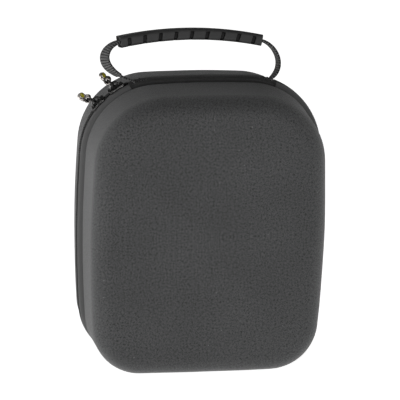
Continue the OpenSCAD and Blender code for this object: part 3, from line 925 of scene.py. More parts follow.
def capsules(name: str, starts: np.ndarray, ends: np.ndarray, out: np.ndarray, width: float,
             finish: Finish = THREAD) -> bpy.types.Object:
    """Stitches or strands: a six-sided bar between each pair of points, thinned at both ends.

    Args:
        name: the piece's name.
        starts: one end of each, shape (n, 3).
        ends: the other end of each, shape (n, 3).
        out: unit vectors square to each, shape (n, 3).
        width: thickness in the middle.
        finish: its finish.

    Returns:
        The piece, with its material.
    """
    along = np.array([0.0, 0.08, 0.5, 0.92, 1.0])
    thick = np.array([0.35, 0.8, 1.0, 0.8, 0.35]) * width / 2
    run = ends - starts
    side = np.cross(run / np.linalg.norm(run, axis=1, keepdims=True), out)
    turn = np.arange(6) * np.pi / 3
    middle = starts[:, None] + along[None, :, None] * run[:, None]
    around = np.cos(turn)[None, :, None] * side[:, None] + np.sin(turn)[None, :, None] * out[:, None]
    rings = middle[:, :, None] + thick[None, :, None, None] * around[:, None]
    piece = repeated(name, rings)
    piece.data.materials.append(finish.material())
    return piece


@dataclass(frozen=True)
class HalfShell:
    """One moulded half of the case: its cover, its foam core, its lining and the binding round its rim.

    A surface of it, at an inset from the outside, is a wall that narrows a little away from the rim,
    a quarter-round shoulder, and a front whose middle stands out by the crown.
    """

    name: str
    side: int
    crown: float
    depth: float = 52 * MM
    shoulder: float = 14 * MM
    draft: float = 1 * MM

    @property
    def columns(self) -> np.ndarray:
        """The normal angles of the rings' points."""
        return OUTLINE.normals(5, 20, 6)

    @property
    def wall_end(self) -> float:
        """Depth at which the wall meets the shoulder."""
        return self.depth - self.crown - self.shoulder

    def profile(self, inset: float) -> np.ndarray:
        """The rows of a surface from rim to middle.

        Args:
            inset: how far in from the outside.

        Returns:
            Depth, offset, shrink and drop of each row, shape (rows, 4).
        """
        t = np.linspace(0.0, 1.0, 12)
        lead = RIM_Y + 1.1 * MM
        wall = np.stack([lead + (self.wall_end - lead) * t, -inset - self.draft * t, np.ones(12),
                         self.draft * t], 1)
        a = np.linspace(0.0, np.pi / 2, 13)[1:]
        radius = self.shoulder - inset
        bend = np.stack([
            self.wall_end + radius * np.sin(a),
            -self.draft - self.shoulder + radius * np.cos(a),
            np.ones(12),
            np.full(12, self.draft),
        ], 1)
        s = np.concatenate([np.linspace(0.94, 0.1, 14), [0.03]])
        flat = np.stack([
            self.depth - inset - self.crown * s**2,
            np.full(15, -self.draft - self.shoulder),
            s,
            np.full(15, self.draft),
        ], 1)
        return np.concatenate([wall, bend, flat])

    def rings(self, rows: np.ndarray) -> np.ndarray:
        """Points of some profile rows, shape (rows, columns, 3)."""
        xz = OUTLINE.at(self.columns[None], rows[:, 1:2])
        x = rows[:, 2:3] * xz[..., 0]
        z = OUTLINE.mid_z + rows[:, 2:3] * (xz[..., 1] - OUTLINE.mid_z) - rows[:, 3:4]
        return np.stack([x, np.broadcast_to(self.side * rows[:, :1], x.shape), z], axis=-1)

    def cloth_uv(self, rows: np.ndarray) -> np.ndarray:
        """UVs as cloth is pulled over the form: the front's own x and z, run on outwards down the walls.

        Args:
            rows: the rows of the profile.

        Returns:
            The UVs, with the first column repeated at the end.
        """
        run = np.hypot(np.diff(rows[:, 0]), np.diff(rows[:, 1]))
        run = np.concatenate([np.cumsum(run[::-1])[::-1], [0.0]])
        on_front = rows[:, 2] < 1.0
        run = np.where(on_front, 0.0, run - run[np.argmax(on_front) - 1])
        xz = OUTLINE.at(self.columns[None], np.full((len(rows), 1), -self.draft - self.shoulder))
        xz = rows[:, 2:3, None] * (xz - [0.0, OUTLINE.mid_z])
        out = outward(self.columns)[:, [0, 2]]
        return closed_rings(xz + run[:, None, None] * out[None])

    def uneven(self, rings: np.ndarray) -> np.ndarray:
        """The slight waviness of a moulded cover, in metres: a few slow sines, faded out at the rim."""
        x, y, z = rings[..., 0], self.side * rings[..., 1], rings[..., 2]
        wave = (np.sin(61 * x + 23 * z) + np.sin(94 * z - 31 * x + 1.0)
                + 0.7 * np.sin(143 * x + 110 * z + 90 * y))
        return 0.07 * MM * wave * smooth_step((y - 10 * MM) / (16 * MM))

    def layer(self, name: str, outer: float, inner: float, lip: np.ndarray, wavy: bool) -> bpy.types.Object:
        """A layer between two insets as a closed skin.

        Args:
            name: the piece's name.
            outer: inset of its outer surface.
            inner: inset of its inner surface.
            lip: profile rows round its rim, from the inner surface to the outer one.
            wavy: whether both surfaces are slightly uneven.

        Returns:
            The piece.
        """
        inside, outside = self.profile(inner)[::-1], self.profile(outer)
        rows = np.concatenate([inside, lip, outside])
        rings = self.rings(rows)
        if wavy:
            shift = self.uneven(rings)
            front = rows[:, 2:3] < 1.0
            out = outward(self.columns)[None]
            away = np.where(front[..., None], [0.0, float(self.side), 0.0], out)
            rings = rings + shift[..., None] * away
        uv = np.concatenate([
            self.cloth_uv(inside[::-1])[::-1],
            np.repeat(self.cloth_uv(outside)[:1], len(lip), axis=0),
            self.cloth_uv(outside),
        ])
        return skin(name, rings, uv=uv)

    def rim_rows(self, points: list[tuple[float, float]]) -> np.ndarray:
        """Profile rows from (depth past the rim's edge, inset) pairs in millimetres."""
        return np.array([(RIM_Y + y * MM, -inset * MM, 1.0, 0.0) for y, inset in points])

    def build(self) -> None:
        """Makes and dresses the half's pieces."""
        roll = np.radians(np.array([8.0, 28.0, 50.0, 72.0]))
        rolled = [(1.1 - 1.1 * float(np.cos(a)), 1.1 - 1.1 * float(np.sin(a))) for a in roll]
        lips = {
            "cover": [(2.6, 1.2), (1.6, 2.3), (0.7, 2.2), (0.1, 1.7), *rolled],
            "shell": [(1.0, 3.9), (0.9, 3.4), (0.9, 2.5), (1.0, 2.4)],
            "lining": [(0.5, 4.75), (0.45, 4.5), (0.5, 4.1)],
        }
        spans = {"cover": (0.0, 0.8), "shell": (0.85, 4.0), "lining": (4.0, 4.8)}
        looks = {
            "cover": (COVER_CLOTH, "outer_fabric"),
            "shell": (FOAM, "foam_core"),
            "lining": (LINING_PILE, "lining_fabric"),
        }
        for layer, (outer, inner) in spans.items():
            lip = self.rim_rows(lips[layer])
            node = f"{self.name}_{layer}"
            piece = self.layer(f"{node}_skin", outer * MM, inner * MM, lip, layer == "cover")
            Dresser.dress(piece, *looks[layer], (node,), self.name)
        self.build_binding()

    def build_binding(self) -> None:
        """The tape folded round the rim's inner edge, and the row of stitches that holds it."""
        drop = self.draft * 8 * MM / (self.wall_end - RIM_Y)
        section = [(0.0, 1.3), (-0.35, 1.7), (-0.45, 2.6), (-0.45, 3.6), (-0.3, 4.7), (0.2, 5.4), (1.0, 5.62),
                   (4.0, 5.66), (7.4, 5.62), (8.0, 5.35), (7.9, 5.0), (1.2, 4.95), (0.45, 4.6), (0.3, 3.4),
                   (0.35, 1.6)]
        rows = self.rim_rows(section)
        share = np.clip((rows[:, 0] - RIM_Y) / (8 * MM), 0.0, 1.0)
        rows[:, 1] -= share * drop
        rows[:, 3] = share * drop
        rings = self.rings(rows).transpose(1, 0, 2)
        piece = skin(f"{self.name}_rim_binding", rings, looped=True, sharp=60.0)
        Dresser.dress(piece, BINDING_TAPE, "tape_fabric", (f"{self.name}_binding",), self.name)
        normals = even_normals(0.0, 2 * np.pi, 3.4 * MM, -5.6 * MM)[:-1]
        ahead = normals + 2.3 * MM / 52 / MM
        level = np.array([-5.78 * MM])
        ends = [on_outline(n, self.side * (RIM_Y + 5.9 * MM), level) - [0, 0,
                                                                        0.75 * drop] for n in (normals,
                                                                                               ahead)]
        thread = capsules(f"{self.name}_binding_stitches", ends[0], ends[1], outward(normals), 0.5 * MM)
        Dresser.dress(thread, THREAD, "thread", (), self.name)


# ---------------------------------------------------------------- the zipper


@dataclass(frozen=True)
class ZipperSide:
    """One side's tape and row of coil teeth, from one end of the hinge round the bottom to the other.

    The tape comes out of the groove under the rim, swells into a soft ridge and dips under the teeth.
    """

    name: str
    side: int
    pitch: float = 1.3 * MM

    @staticmethod
    def ends() -> tuple[float, float]:
        """The normal angles at which the track starts and stops."""
        first = np.pi / 2 + HINGE_END + np.radians(0.4)
        return first, 5 * np.pi / 2 - HINGE_END - np.radians(0.4)

    def tape(self) -> bpy.types.Object:
        """The tape: height over its seam = share * (ridge - seam), with the share read off the section."""
        normals = even_normals(*self.ends(), 2.2 * MM, 2 * MM)
        out = coil_out(normals)[:, None]
        y = np.array([8.0, 7.3, 6.95, 6.65, 6.2, 5.6, 4.9, 4.2, 3.6, 3.15, 2.8, 0.65]) * MM
        share = np.array([-0.1, -0.06, 0.0, 0.22, 0.5, 0.76, 0.93, 1.0, 0.97, 0.8, 0.0, 0.0])
        seam, ridge, low = -0.95 * MM, out - 0.35 * MM, out - COIL_T - 0.1 * MM
        top = seam + share * (ridge - seam)
        top[:, 10:] = low
        under = top - 0.6 * MM
        under[:, 8:10] = low - 0.5 * MM
        depth = np.concatenate([y, y[::-1]])
        offs = np.concatenate([top, under[:, ::-1]], axis=1)
        rings = on_outline(normals[:, None], self.side * depth[None], offs)
        return skin(f"{self.name}_zip_tape", rings, sharp=60.0)

    def teeth(self) -> bpy.types.Object:
        """The teeth: small bars across the track, rounded over at both ends, one a pitch."""
        first, last = self.ends()
        shift = 0.5 * self.pitch / (50 * MM) * (self.side < 0)
        normals = even_normals(first + 0.01 + shift, last - 0.01, self.pitch, BULGE)
        y = np.array([3.05, 2.75, 1.3, 0.0, -0.35]) * MM * self.side
        half = np.array([0.2, 0.29, 0.29, 0.29, 0.2]) * MM
        drop = np.array([0.6, 0.12, 0.0, 0.15, 0.55]) * MM
        section = np.array([[1, -1.0], [1, -0.35], [0.55, 0.0], [-0.55, 0.0], [-1, -0.35], [-1, -1.0]])
        top = coil_out(normals)[:, None] - drop[None]
        off = top[..., None] + section[None, None, :, 1] * 1.0 * MM
        tangent = np.stack([-np.sin(normals), np.zeros_like(normals), np.cos(normals)], 1)
        rings = on_outline(normals[:, None, None], y[None, :, None], off)
        rings = rings + (half[:, None] * section[None, :, 0])[None, ..., None] * tangent[:, None, None]
        return repeated(f"{self.name}_coil_teeth", rings, sharp=70.0)

    def build(self) -> None:
        """Makes and dresses the side's pieces."""
        Dresser.dress(self.tape(), ZIP_TAPE, "tape_fabric", (f"{self.name}_zipper_tape",), self.name)
        Dresser.dress(self.teeth(), COIL, "coil_nylon", (f"{self.name}_zipper_coil",), self.name)
        self.build_seam()

    def build_seam(self) -> None:
        """The stitches along the tape just out of the groove."""
        normals = even_normals(*self.ends(), 2.9 * MM, 2 * MM)[1:-1]
        ahead = normals + 2.0 * MM / (48 * MM)
        depth = self.side * 3.4 * MM
        ends = [on_outline(n, depth, coil_out(n) - 0.5 * MM) for n in (normals[:-1], ahead[:-1])]
        keep = np.linalg.norm(ends[1] - ends[0], axis=1) < 3 * MM
        thread = capsules(f"{self.name}_tape_stitches", ends[0][keep], ends[1][keep],
                          outward(normals[:-1][keep]), 0.42 * MM)
        Dresser.dress(thread, THREAD, "thread", (), self.name)


# ---------------------------------------------------------------- the hinge and the handle


HINGE_BODY = "hinge"
HANDLE_Z = OUTLINE.hinge_z + 0.5 * MM


@dataclass(frozen=True)
class FabricHinge:
    """The spine along the top: fabric from rim to rim, a raised band over the webbing, and a lining."""

    band_half: float = 4.7 * MM
    bar_turns: tuple[float, float] = (5.5, 9.0)
    band_rise: float = 3.4 * MM

    def strip(self, name: str, section: list[tuple[float, float]], end: float = HINGE_END,
              sharp: float = 50.0) -> bpy.types.Object:
        """A strip along the hinge.

        Args:
            name: the piece's name.
            section: (depth, offset) corners in millimetres.
            end: how far it goes into each corner, as an angle.
            sharp: edges bent by more than this, in degrees, are shaded sharp.

        Returns:
            The piece.
        """
        normals = even_normals(np.pi / 2 - end, np.pi / 2 + end, 2.0 * MM, 0.0)
        corners = np.array(section) * MM
        return skin(name, on_outline(normals[:, None], corners[None, :, 0], corners[None, :, 1]), sharp=sharp)

    def band_section(self) -> list[tuple[float, float]]:
        """The band's section: a low arch whose edges are turned under, drawn in at its stitch lines."""
        half, rise = self.band_half / MM, self.band_rise / MM
        turn = np.linspace(-np.pi / 2, np.pi / 2, 25)
        y = half * np.sin(turn)
        height = 1.0 + (rise - 1.0) * np.abs(np.cos(turn)) ** 0.45
        height -= 0.35 * np.exp(-(((np.abs(y) - 3.55) / 0.28) ** 2))
        top = [(float(a), float(b)) for a, b in zip(y, height)]
        return [*top, (half - 0.6, 0.55), (0.0, 0.6), (-half + 0.6, 0.55)]

    def build(self) -> None:
        """Makes and dresses the hinge's pieces."""
        arch = [(9.0, -1.6), (7.6, -1.45), (6.9, -0.95), (6.4, -0.1), (5.8, 0.55), (5.0, 0.95), (3.6, 1.1),
                (3.6, 0.5),
                (4.8, 0.35), (5.5, 0.0), (6.0, -0.6), (6.5, -1.5), (7.2, -2.05), (9.0, -2.2)]
        for side, shell in ((1, "base"), (-1, "lid")):
            half = self.strip(f"hinge_fabric_{shell}", [(side * y, off) for y, off in arch])
            Dresser.dress(half, HINGE_TAPE, "tape_fabric", ("hinge_cover",))
            if side > 0:
                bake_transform(half)
            else:
                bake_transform(half)
        band = self.strip("hinge_band_cloth", self.band_section(), HINGE_END + np.radians(0.3))
        Dresser.dress(band, HINGE_TAPE, "tape_fabric", ("hinge_band",), HINGE_BODY)
        inner = [(6.4, -0.95), (6.2, -0.6), (0.0, 0.25), (-6.2, -0.6), (-6.4, -0.95), (-5.6, -1.5),
                 (0.0, -0.55),
                 (5.6, -1.5)]
        lining = self.strip("hinge_lining_pile", inner)
        Dresser.dress(lining, LINING_PILE, "lining_fabric", ("hinge_lining",), HINGE_BODY)
        self.build_stitches()

    def build_stitches(self) -> None:
        """The runs of stitches along the band's edges, and the bars that hold the webbing down."""
        normals = even_normals(np.pi / 2 - HINGE_END, np.pi / 2 + HINGE_END, 2.8 * MM, 0.0)
        starts, ends, outs = [], [], []
        for side in (-1, 1):
            lift = np.full(len(normals) - 1, 2.72 * MM)
            starts.append(on_outline(normals[:-1] + 0.008, side * 3.55 * MM, lift))
            ends.append(on_outline(normals[1:] - 0.008, side * 3.55 * MM, lift))
            outs.append(outward(normals[:-1]))
        run = capsules("band_stitches", np.concatenate(starts), np.concatenate(ends), np.concatenate(outs),
                       0.5 * MM)
        Dresser.dress(run, THREAD, "thread", (), HINGE_BODY)
        starts, ends, outs = [], [], []
        for side in (-1, 1):
            for turn in HINGE_END - np.radians(self.bar_turns):
                normal = np.full(6, np.pi / 2 - side * turn)
                edges = np.linspace(-3.0, 3.0, 7) * MM
                lift = np.full(6, self.band_rise + 0.02 * MM)
                tilt = np.array([0.006, -0.006] * 3)
                starts.append(on_outline(normal + tilt, edges[:-1], lift))
                ends.append(on_outline(normal - tilt, edges[1:], lift))
                outs.append(outward(normal))
        bars = capsules("anchor_bars", np.concatenate(starts), np.concatenate(ends), np.concatenate(outs),
                        0.75 * MM)
        Dresser.dress(bars, THREAD, "thread", ("anchor_stitches",), HINGE_BODY)


@dataclass(frozen=True)
class CarryHandle:
    """The webbing loop and the moulded grip on it, leaning back about the hinge's line."""

    lean: float = float(np.radians(10.0))
    rise: float = 31.5 * MM
    half: float = 49.5 * MM
    sag: float = 5 * MM
    shift: float = -8.5 * MM
    anchor: tuple[float, float] = (48.5 * MM, -0.4 * MM)
    slots: int = 9

    @property
    def arch_r(self) -> float:
        """Radius of the grip's arch."""
        return (self.half**2 + self.sag**2) / (2 * self.sag)

    @property
    def half_a(self) -> float:
        """Half the angle of the grip's arch."""
        return float(np.arcsin(self.half / self.arch_r))

    def placed(self, points: np.ndarray) -> np.ndarray:
        """Points from the handle's upright plane to the frame: leant back about X, lifted to the hinge."""
        c, s = np.cos(self.lean), np.sin(self.lean)
        x, y, z = points[..., 0], points[..., 1], points[..., 2]
        return np.stack([x, y * c + z * s, z * c - y * s + HANDLE_Z], axis=-1)

    def route(self, side: int) -> np.ndarray:
        """The webbing's middle line on one side, from the grip's middle to under the band.

        Args:
            side: 1 for the right side, -1 for the left.

        Returns:
            Points, shape (n, 2): the distance outwards on that side, and the height over the pivot.
        """
        shift = side * self.shift
        a = np.linspace(0.0, self.half_a, 24)
        arch = np.stack([self.arch_r * np.sin(a) + shift, self.rise - self.arch_r * (1 - np.cos(a))], 1)
        t = np.linspace(0.0, 1.0, 41)[1:, None]
        low = self.rise - self.sag
        p = np.array([[self.half + shift, low], [61 * MM + shift, low - 2.6 * MM], [68 * MM + shift, 8 * MM],
                      list(self.anchor)])
        loop = (1 - t) ** 3 * p[0] + 3 * (1 - t) ** 2 * t * p[1] + 3 * (1 - t) * t**2 * p[2] + t**3 * p[3]
        normals = np.pi / 2 - np.radians(np.linspace(17.5, 8.0, 8))
        under = OUTLINE.at(normals, 1.9 * MM) - [0.0, HANDLE_Z]
        return np.concatenate([arch, loop, under])

    def strap(self) -> bpy.types.Object:
        """The webbing: a flat section with thick rounded edges, turned a little about its own line.

        The left side of the loop is turned towards the lid, and both ends are gathered narrower
        where they go under the band.
        """
        route = np.concatenate([self.route(-1)[:0:-1] * [-1.0, 1.0], self.route(1)])
        run = np.concatenate([[0.0], np.cumsum(np.linalg.norm(np.diff(route, axis=0), axis=1))])
        even = np.arange(0.0, run[-1], 1.1 * MM)
        route = np.stack([np.interp(even, run, route[:, k]) for k in (0, 1)], 1)
        middle = np.abs(route[:, 0] - self.shift) < self.half
        path = np.stack([route[:, 0], np.zeros(len(route)), route[:, 1]], 1)
        ahead = np.gradient(path, axis=0)
        ahead /= np.linalg.norm(ahead, axis=1, keepdims=True)
        out = np.stack([-ahead[:, 2], np.zeros(len(path)), ahead[:, 0]], 1)
        across = np.tile([0.0, 1.0, 0.0], (len(path), 1))
        share = even / even[-1]
        twist = np.radians(19.0) * np.exp(-(((share - 0.17) / 0.075) ** 2))
        twist = np.where(middle, 0.0, twist)[:, None]
        across, out = (across * np.cos(twist) + out * np.sin(twist),
                       out * np.cos(twist) - across * np.sin(twist))
        anchored = smooth_step((15 * MM - np.minimum(even, even[-1] - even)) / (8 * MM))
        width = 13 * MM - 5.4 * MM * anchored
        thick = 1.8 * MM - 0.5 * MM * anchored
        unit = rounded_box(1.0, 1.0, 0.0, corner=1, side=10)
        edge = np.clip((np.abs(unit[:, 0]) - 0.42) / 0.08, 0.0, 1.0)
        section = np.stack([
            unit[None, :, 0] * width[:, None],
            unit[None, :, 1] * (1 - 0.45 * edge**2)[None] * thick[:, None],
        ], -1)
        rings = self.placed(swept(path, across, out, section))
        u = np.broadcast_to(section[..., 0] + 20 * MM, rings.shape[:2])
        uv = closed_rings(np.stack([u, np.broadcast_to(even[:, None], u.shape)], -1))
        return skin("carry_strap", rings, uv=uv, sharp=60.0)

    def grip(self) -> bpy.types.Object:
        """The grip: a rounded bar along the arch with slots pressed into its front and back faces.

        Each slot's depth is a trapezium along the arch times a step that closes it near the top edge;
        its line leans, because the whole mesh is sheared along the arch, less so near the ends.
        """
        pitch = 2 * self.half_a / 9.1
        marks = [-self.half_a, self.half_a]
        marks += list(np.linspace(-self.half_a, self.half_a, 60))
        centres = (np.arange(self.slots) - (self.slots - 1) / 2) * pitch
        for centre in centres:
            marks += [centre + k * MM / self.arch_r for k in (-1.5, -1.32, -1.16, -1.05, 1.05, 1.16, 1.32,
                                                              1.5)]
        angle = np.unique(np.round(marks, 6))
        keep = np.concatenate([[True], np.diff(angle) > 0.00035])
        angle = angle[keep]
        near = np.abs(angle[:, None] - centres[None]).min(axis=1) * self.arch_r / MM
        deep = np.interp(near, [1.05, 1.16, 1.32, 1.5], [1.0, 0.85, 0.12, 0.0])
        box = rounded_box(19 * MM, 8 * MM, 2.4 * MM, corner=6, side=8)
        width, height = box[:, 0], box[:, 1]
        on_face = smooth_step((np.abs(width) - 6.6 * MM) / (0.5 * MM))
        opened = smooth_step((2.1 * MM - height) / (0.7 * MM))
        ends = np.abs(angle) / self.half_a
        section = np.repeat(box[None], len(angle), axis=0)
        section[..., 0] -= np.sign(width) * 1.9 * MM * deep[:, None] * (on_face * opened)[None]
        section[..., 0] *= (1 - 0.02 * ends**2)[:, None]
        shear = 0.22 * (1 - ends**6)
        rows = [(0, 1.0, 0.0), *((k, 1.0, 0.0) for k in range(1, len(angle) - 1)), (len(angle) - 1, 1.0, 0.0)]
        lip = [(0.55, 1.6 * MM), (0.58, 1.7 * MM), (0.86, 1.3 * MM), (0.9, 0.2 * MM), (0.97, -0.05 * MM)]
        rows = [(0, s, d) for s, d in lip] + rows + [(len(angle) - 1, s, d) for s, d in lip[::-1]]
        rings = []
        # Painted shade in the slots: each point's depth in a slot, stored below for the rubber's material to
        # darken.
        recess = (deep[:, None] * (on_face * opened)[None])[[k for k, _, _ in rows]]
        for k, scale, inward in rows:
            a = angle[k] - np.sign(angle[k]) * inward / self.arch_r + shear[k] * section[k, :,
                                                                                         1] / self.arch_r
            radius = self.arch_r + scale * section[k, :, 1]
            rings.append(np.stack([radius * np.sin(a) + self.shift, scale * section[k, :, 0],
                                   self.rise - self.arch_r + radius * np.cos(a)], -1))
        grip = skin("moulded_grip", self.placed(np.array(rings)), sharp=38.0)
        # Stores the painted slot shade as a point attribute on the grip's mesh.
        layer = grip.data.attributes.new(PAINTED_SLOT_SHADE, "FLOAT", "POINT")
        layer.data.foreach_set("value", recess.astype(np.float32).ravel())
        return grip

    def build(self) -> None:
        """Makes and dresses the handle's pieces."""
        strap = self.strap()
        Dresser.dress(strap, STRAP, "webbing_fabric", ("handle_webbing", "webbing_anchors"))
        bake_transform(strap)
        Dresser.dress(self.grip(), GRIP_RUBBER, "grip_rubber", ("handle_grip",), "handle")


# ---------------------------------------------------------------- the sliders and their pulls


class Place(Enum):
    """Where a slider is parked: angle round the corner, its head's side and its pull's lean, in degrees."""

    LOWER = (49.0, -1.0, 24.0)
    UPPER = (32.0, 1.0, 20.0)


@dataclass(frozen=True)
class ZipSlider:
    """A slider astride both rows of teeth, with a wire link and a cast pull."""

    name: str
    place: Place
    corner_r: float = 50 * MM
    pivot_off: float = 6.6 * MM

    def on_track(self, along: np.ndarray, y: np.ndarray, off: np.ndarray) -> np.ndarray:
        """Points at a distance along the track from the slider's middle, a depth, and an offset out.

        Args:
            along: distance along the track.
            y: place across the track.
            off: distance out from the corner's arc.

        Returns:
            The points, with X, Y and Z last.
        """
        turn = np.radians(self.place.value[0]) + along / (self.corner_r + BULGE)
        along, y, off, turn = np.broadcast_arrays(along, y, off, turn)
        radius = self.corner_r + off
        corner = OUTLINE.corner
        return np.stack([-corner[0] - radius * np.sin(turn), y,
                         OUTLINE.mid_z + corner[1] + radius * np.cos(turn)], -1)

    def hanging(self, points: np.ndarray) -> np.ndarray:
        """Points from the pull's own axes, +Z along it, to the frame.

        Args:
            points: points in those axes, with X, Y and Z last.

        Returns:
            The same points in the frame.
        """
        turn = np.radians(self.place.value[0])
        tilt = turn + np.radians(self.place.value[2])
        corner = OUTLINE.corner
        radius = self.corner_r + self.pivot_off
        pivot = np.array([-corner[0] - radius * np.sin(turn), 0.0,
                          OUTLINE.mid_z + corner[1] + radius * np.cos(turn)])
        x, y, z = points[..., 0], points[..., 1], points[..., 2]
        c, s = np.cos(tilt), np.sin(tilt)
        return pivot + np.stack([x * c - z * s, y, x * s + z * c], axis=-1)

    def twisted(self, points: np.ndarray) -> np.ndarray:
        """Points turned about the pull's own line, so that its face looks a little towards the lid."""
        a = -np.radians(22.0)
        x, y = points[..., 0], points[..., 1]
        turned = [x * np.cos(a) - y * np.sin(a), x * np.sin(a) + y * np.cos(a), points[..., 2]]
        return self.hanging(np.stack(turned, -1))

    def plate(self, name: str, off: float, thick: float, half_w: float) -> bpy.types.Object:
        """A bent plate: widest at the head, narrower at the tail, with rounded edges and ends.

        Args:
            name: the plate's name.
            off: how far out its inner face is.
            thick: its thickness.
            half_w: half its greatest width.

        Returns:
            The new object.
        """
        head = self.place.value[1]
        s = np.array([-1.0, -0.985, -0.93, -0.8, -0.5, -0.2, 0.1, 0.4, 0.7, 0.9, 0.975, 1.0])
        width = np.array([0.72, 0.84, 0.9, 0.9, 0.86, 0.86, 0.92, 0.99, 1.0, 0.9, 0.76, 0.6])
        flat = np.array([0.45, 0.8, 1.0, 1.0, 1.0, 1.0, 1.0, 1.0, 1.0, 1.0, 0.8, 0.45])
        box = rounded_box(2 * half_w, thick, 0.42 * thick, corner=4, side=3)
        along = head * s * 5.9 * MM
        y = width[:, None] * box[None, :, 0]
        height = off + thick / 2 + flat[:, None] * box[None, :, 1]
        return skin(name, self.on_track(along[:, None], y, height), sharp=35.0)

    def flange(self, name: str, side: int) -> bpy.types.Object:
        """One turned-down edge of the outer plate.

        Args:
            name: the edge's name.
            side: -1 for the front edge, 1 for the back.

        Returns:
            The new object.
        """
        head = self.place.value[1]
        s = np.array([-0.95, -0.8, -0.4, 0.0, 0.4, 0.8, 0.9])
        width = np.interp(s, [-1.0, -0.8, -0.2, 0.4, 0.7, 0.9], [0.86, 0.9, 0.86, 0.98, 1.0, 0.92])
        box = rounded_box(0.8 * MM, 1.5 * MM, 0.3 * MM, corner=3)
        y = side * (width[:, None] * 5.0 * MM - 0.42 * MM) + box[None, :, 0]
        height = 3.9 * MM + box[None, :, 1]
        return skin(name, self.on_track((head * s * 5.9 * MM)[:, None], y, height), sharp=35.0)

    def bridge(self) -> bpy.types.Object:
        """The arched bridge that the link hangs in, thinner at its crown."""
        turn = np.linspace(-0.12, np.pi + 0.12, 19)
        box = rounded_box(3.0 * MM, 1.2 * MM, 0.5 * MM, corner=4)
        radius = 3.3 * MM + box[None, :, 1] * (1 - 0.15 * np.sin(turn))[:, None]
        along = radius * np.cos(turn)[:, None]
        off = 5.15 * MM + radius * np.sin(turn)[:, None]
        y = box[None, :, 0] * (1 + 0.25 * np.cos(turn)[:, None] ** 2)
        return skin("bridge", self.on_track(along, y, off), sharp=35.0)

    def neck(self) -> bpy.types.Object:
        """The post between the plates at the head."""
        along = self.place.value[1] * 4.7 * MM + np.array([-1.2, -0.9, 0.9, 1.2]) * MM
        box = rounded_box(0.8 * MM, 3.6 * MM, 0.2 * MM, corner=2)
        y = box[None, :, 0] * np.array([0.5, 1.0, 1.0, 0.5])[:, None]
        return skin("neck", self.on_track(along[:, None], y, 2.4 * MM + box[None, :, 1]), sharp=40.0)

    def link(self) -> bpy.types.Object:
        """The wire link: a round wire bent to a rounded rectangle."""
        loop = rounded_box(6.1 * MM, 5.7 * MM, 1.7 * MM, corner=8, side=4)
        path = np.stack([np.zeros(len(loop)), loop[:, 0], loop[:, 1] + 2.85 * MM], 1)
        ahead = np.roll(path, -1, axis=0) - np.roll(path, 1, axis=0)
        ahead /= np.linalg.norm(ahead, axis=1, keepdims=True)
        first = np.tile([1.0, 0.0, 0.0], (len(path), 1))
        turn = np.arange(12) * np.pi / 6
        wire = 0.65 * MM * np.stack([np.cos(turn), np.sin(turn)], 1)
        return skin(f"{self.name}_link", self.hanging(swept(path, first, np.cross(ahead, first), wire)),
                    looped=True)

    def pull(self) -> bpy.types.Object:
        """The cast pull: an eye, a body that swells and rounds off, and a bead round its enamel."""
        turn = np.arange(24) * np.pi / 12
        centre = np.stack([np.cos(turn), np.zeros(24), np.sin(turn)], 1)
        path = 2.15 * MM * centre + [0.0, 0.0, 5.7 * MM]
        box = rounded_box(4.2 * MM, 0.8 * MM, 0.3 * MM, corner=3)
        across = np.tile([0.0, 1.0, 0.0], (24, 1))
        eye = skin("eye", self.twisted(swept(path, across, centre, box)), looped=True, sharp=35.0)
        z = np.array([7.3, 7.5, 8.0, 8.8, 9.8, 10.8, 11.7, 12.3, 12.75, 13.0]) * MM
        width = np.array([4.0, 5.6, 7.6, 8.4, 8.3, 7.6, 6.2, 4.8, 3.2, 1.4]) * MM
        thick = np.array([1.6, 2.0, 2.4, 2.4, 2.4, 2.4, 2.2, 1.9, 1.5, 0.8]) * MM
        unit = rounded_box(1.0, 1.0, 0.3, corner=4, side=2)
        points = np.stack([unit[None, :, 1] * thick[:, None], unit[None, :, 0] * width[:, None],
                           np.broadcast_to(z[:, None], (10, len(unit)))], -1)
        body = skin("body", self.twisted(points), sharp=35.0)
        ring = self.enamel_outline(1.0)
        middle = ring.mean(axis=0)
        spoke = (ring - middle) / np.linalg.norm(ring - middle, axis=1, keepdims=True)
        out = np.tile([1.0, 0.0, 0.0], (len(ring), 1))
        bead = rounded_box(0.55 * MM, 0.7 * MM, 0.22 * MM, corner=3)
        rim = skin("rim", self.twisted(swept(ring, spoke, out, bead)), looped=True, sharp=35.0)
        return merged(f"{self.name}_cast_pull", [eye, body, rim])

    @staticmethod
    def enamel_outline(scale: float) -> np.ndarray:
        """The enamel's outline on the pull's face: a circle flattened on the eye's side."""
        turn = np.arange(40) * np.pi / 20
        y = 3.05 * MM * scale * np.cos(turn)
        z = 9.9 * MM + scale * np.where(np.sin(turn) < 0, 1.65 * MM, 2.05 * MM) * np.sin(turn)
        return np.stack([np.full(40, 1.28 * MM), y, z], 1)

    def enamel(self) -> bpy.types.Object:
        """The enamel: a low dome inside the bead."""
        steps = [(1.0, -0.25), (1.0, 0.02), (0.93, 0.12), (0.8, 0.2), (0.6, 0.27), (0.4, 0.31), (0.15, 0.33)]
        rings = [self.enamel_outline(scale) + [lift * MM, 0.0, 0.0] for scale, lift in steps]
        return skin(f"{self.name}_enamel", self.twisted(np.array(rings)), sharp=50.0)

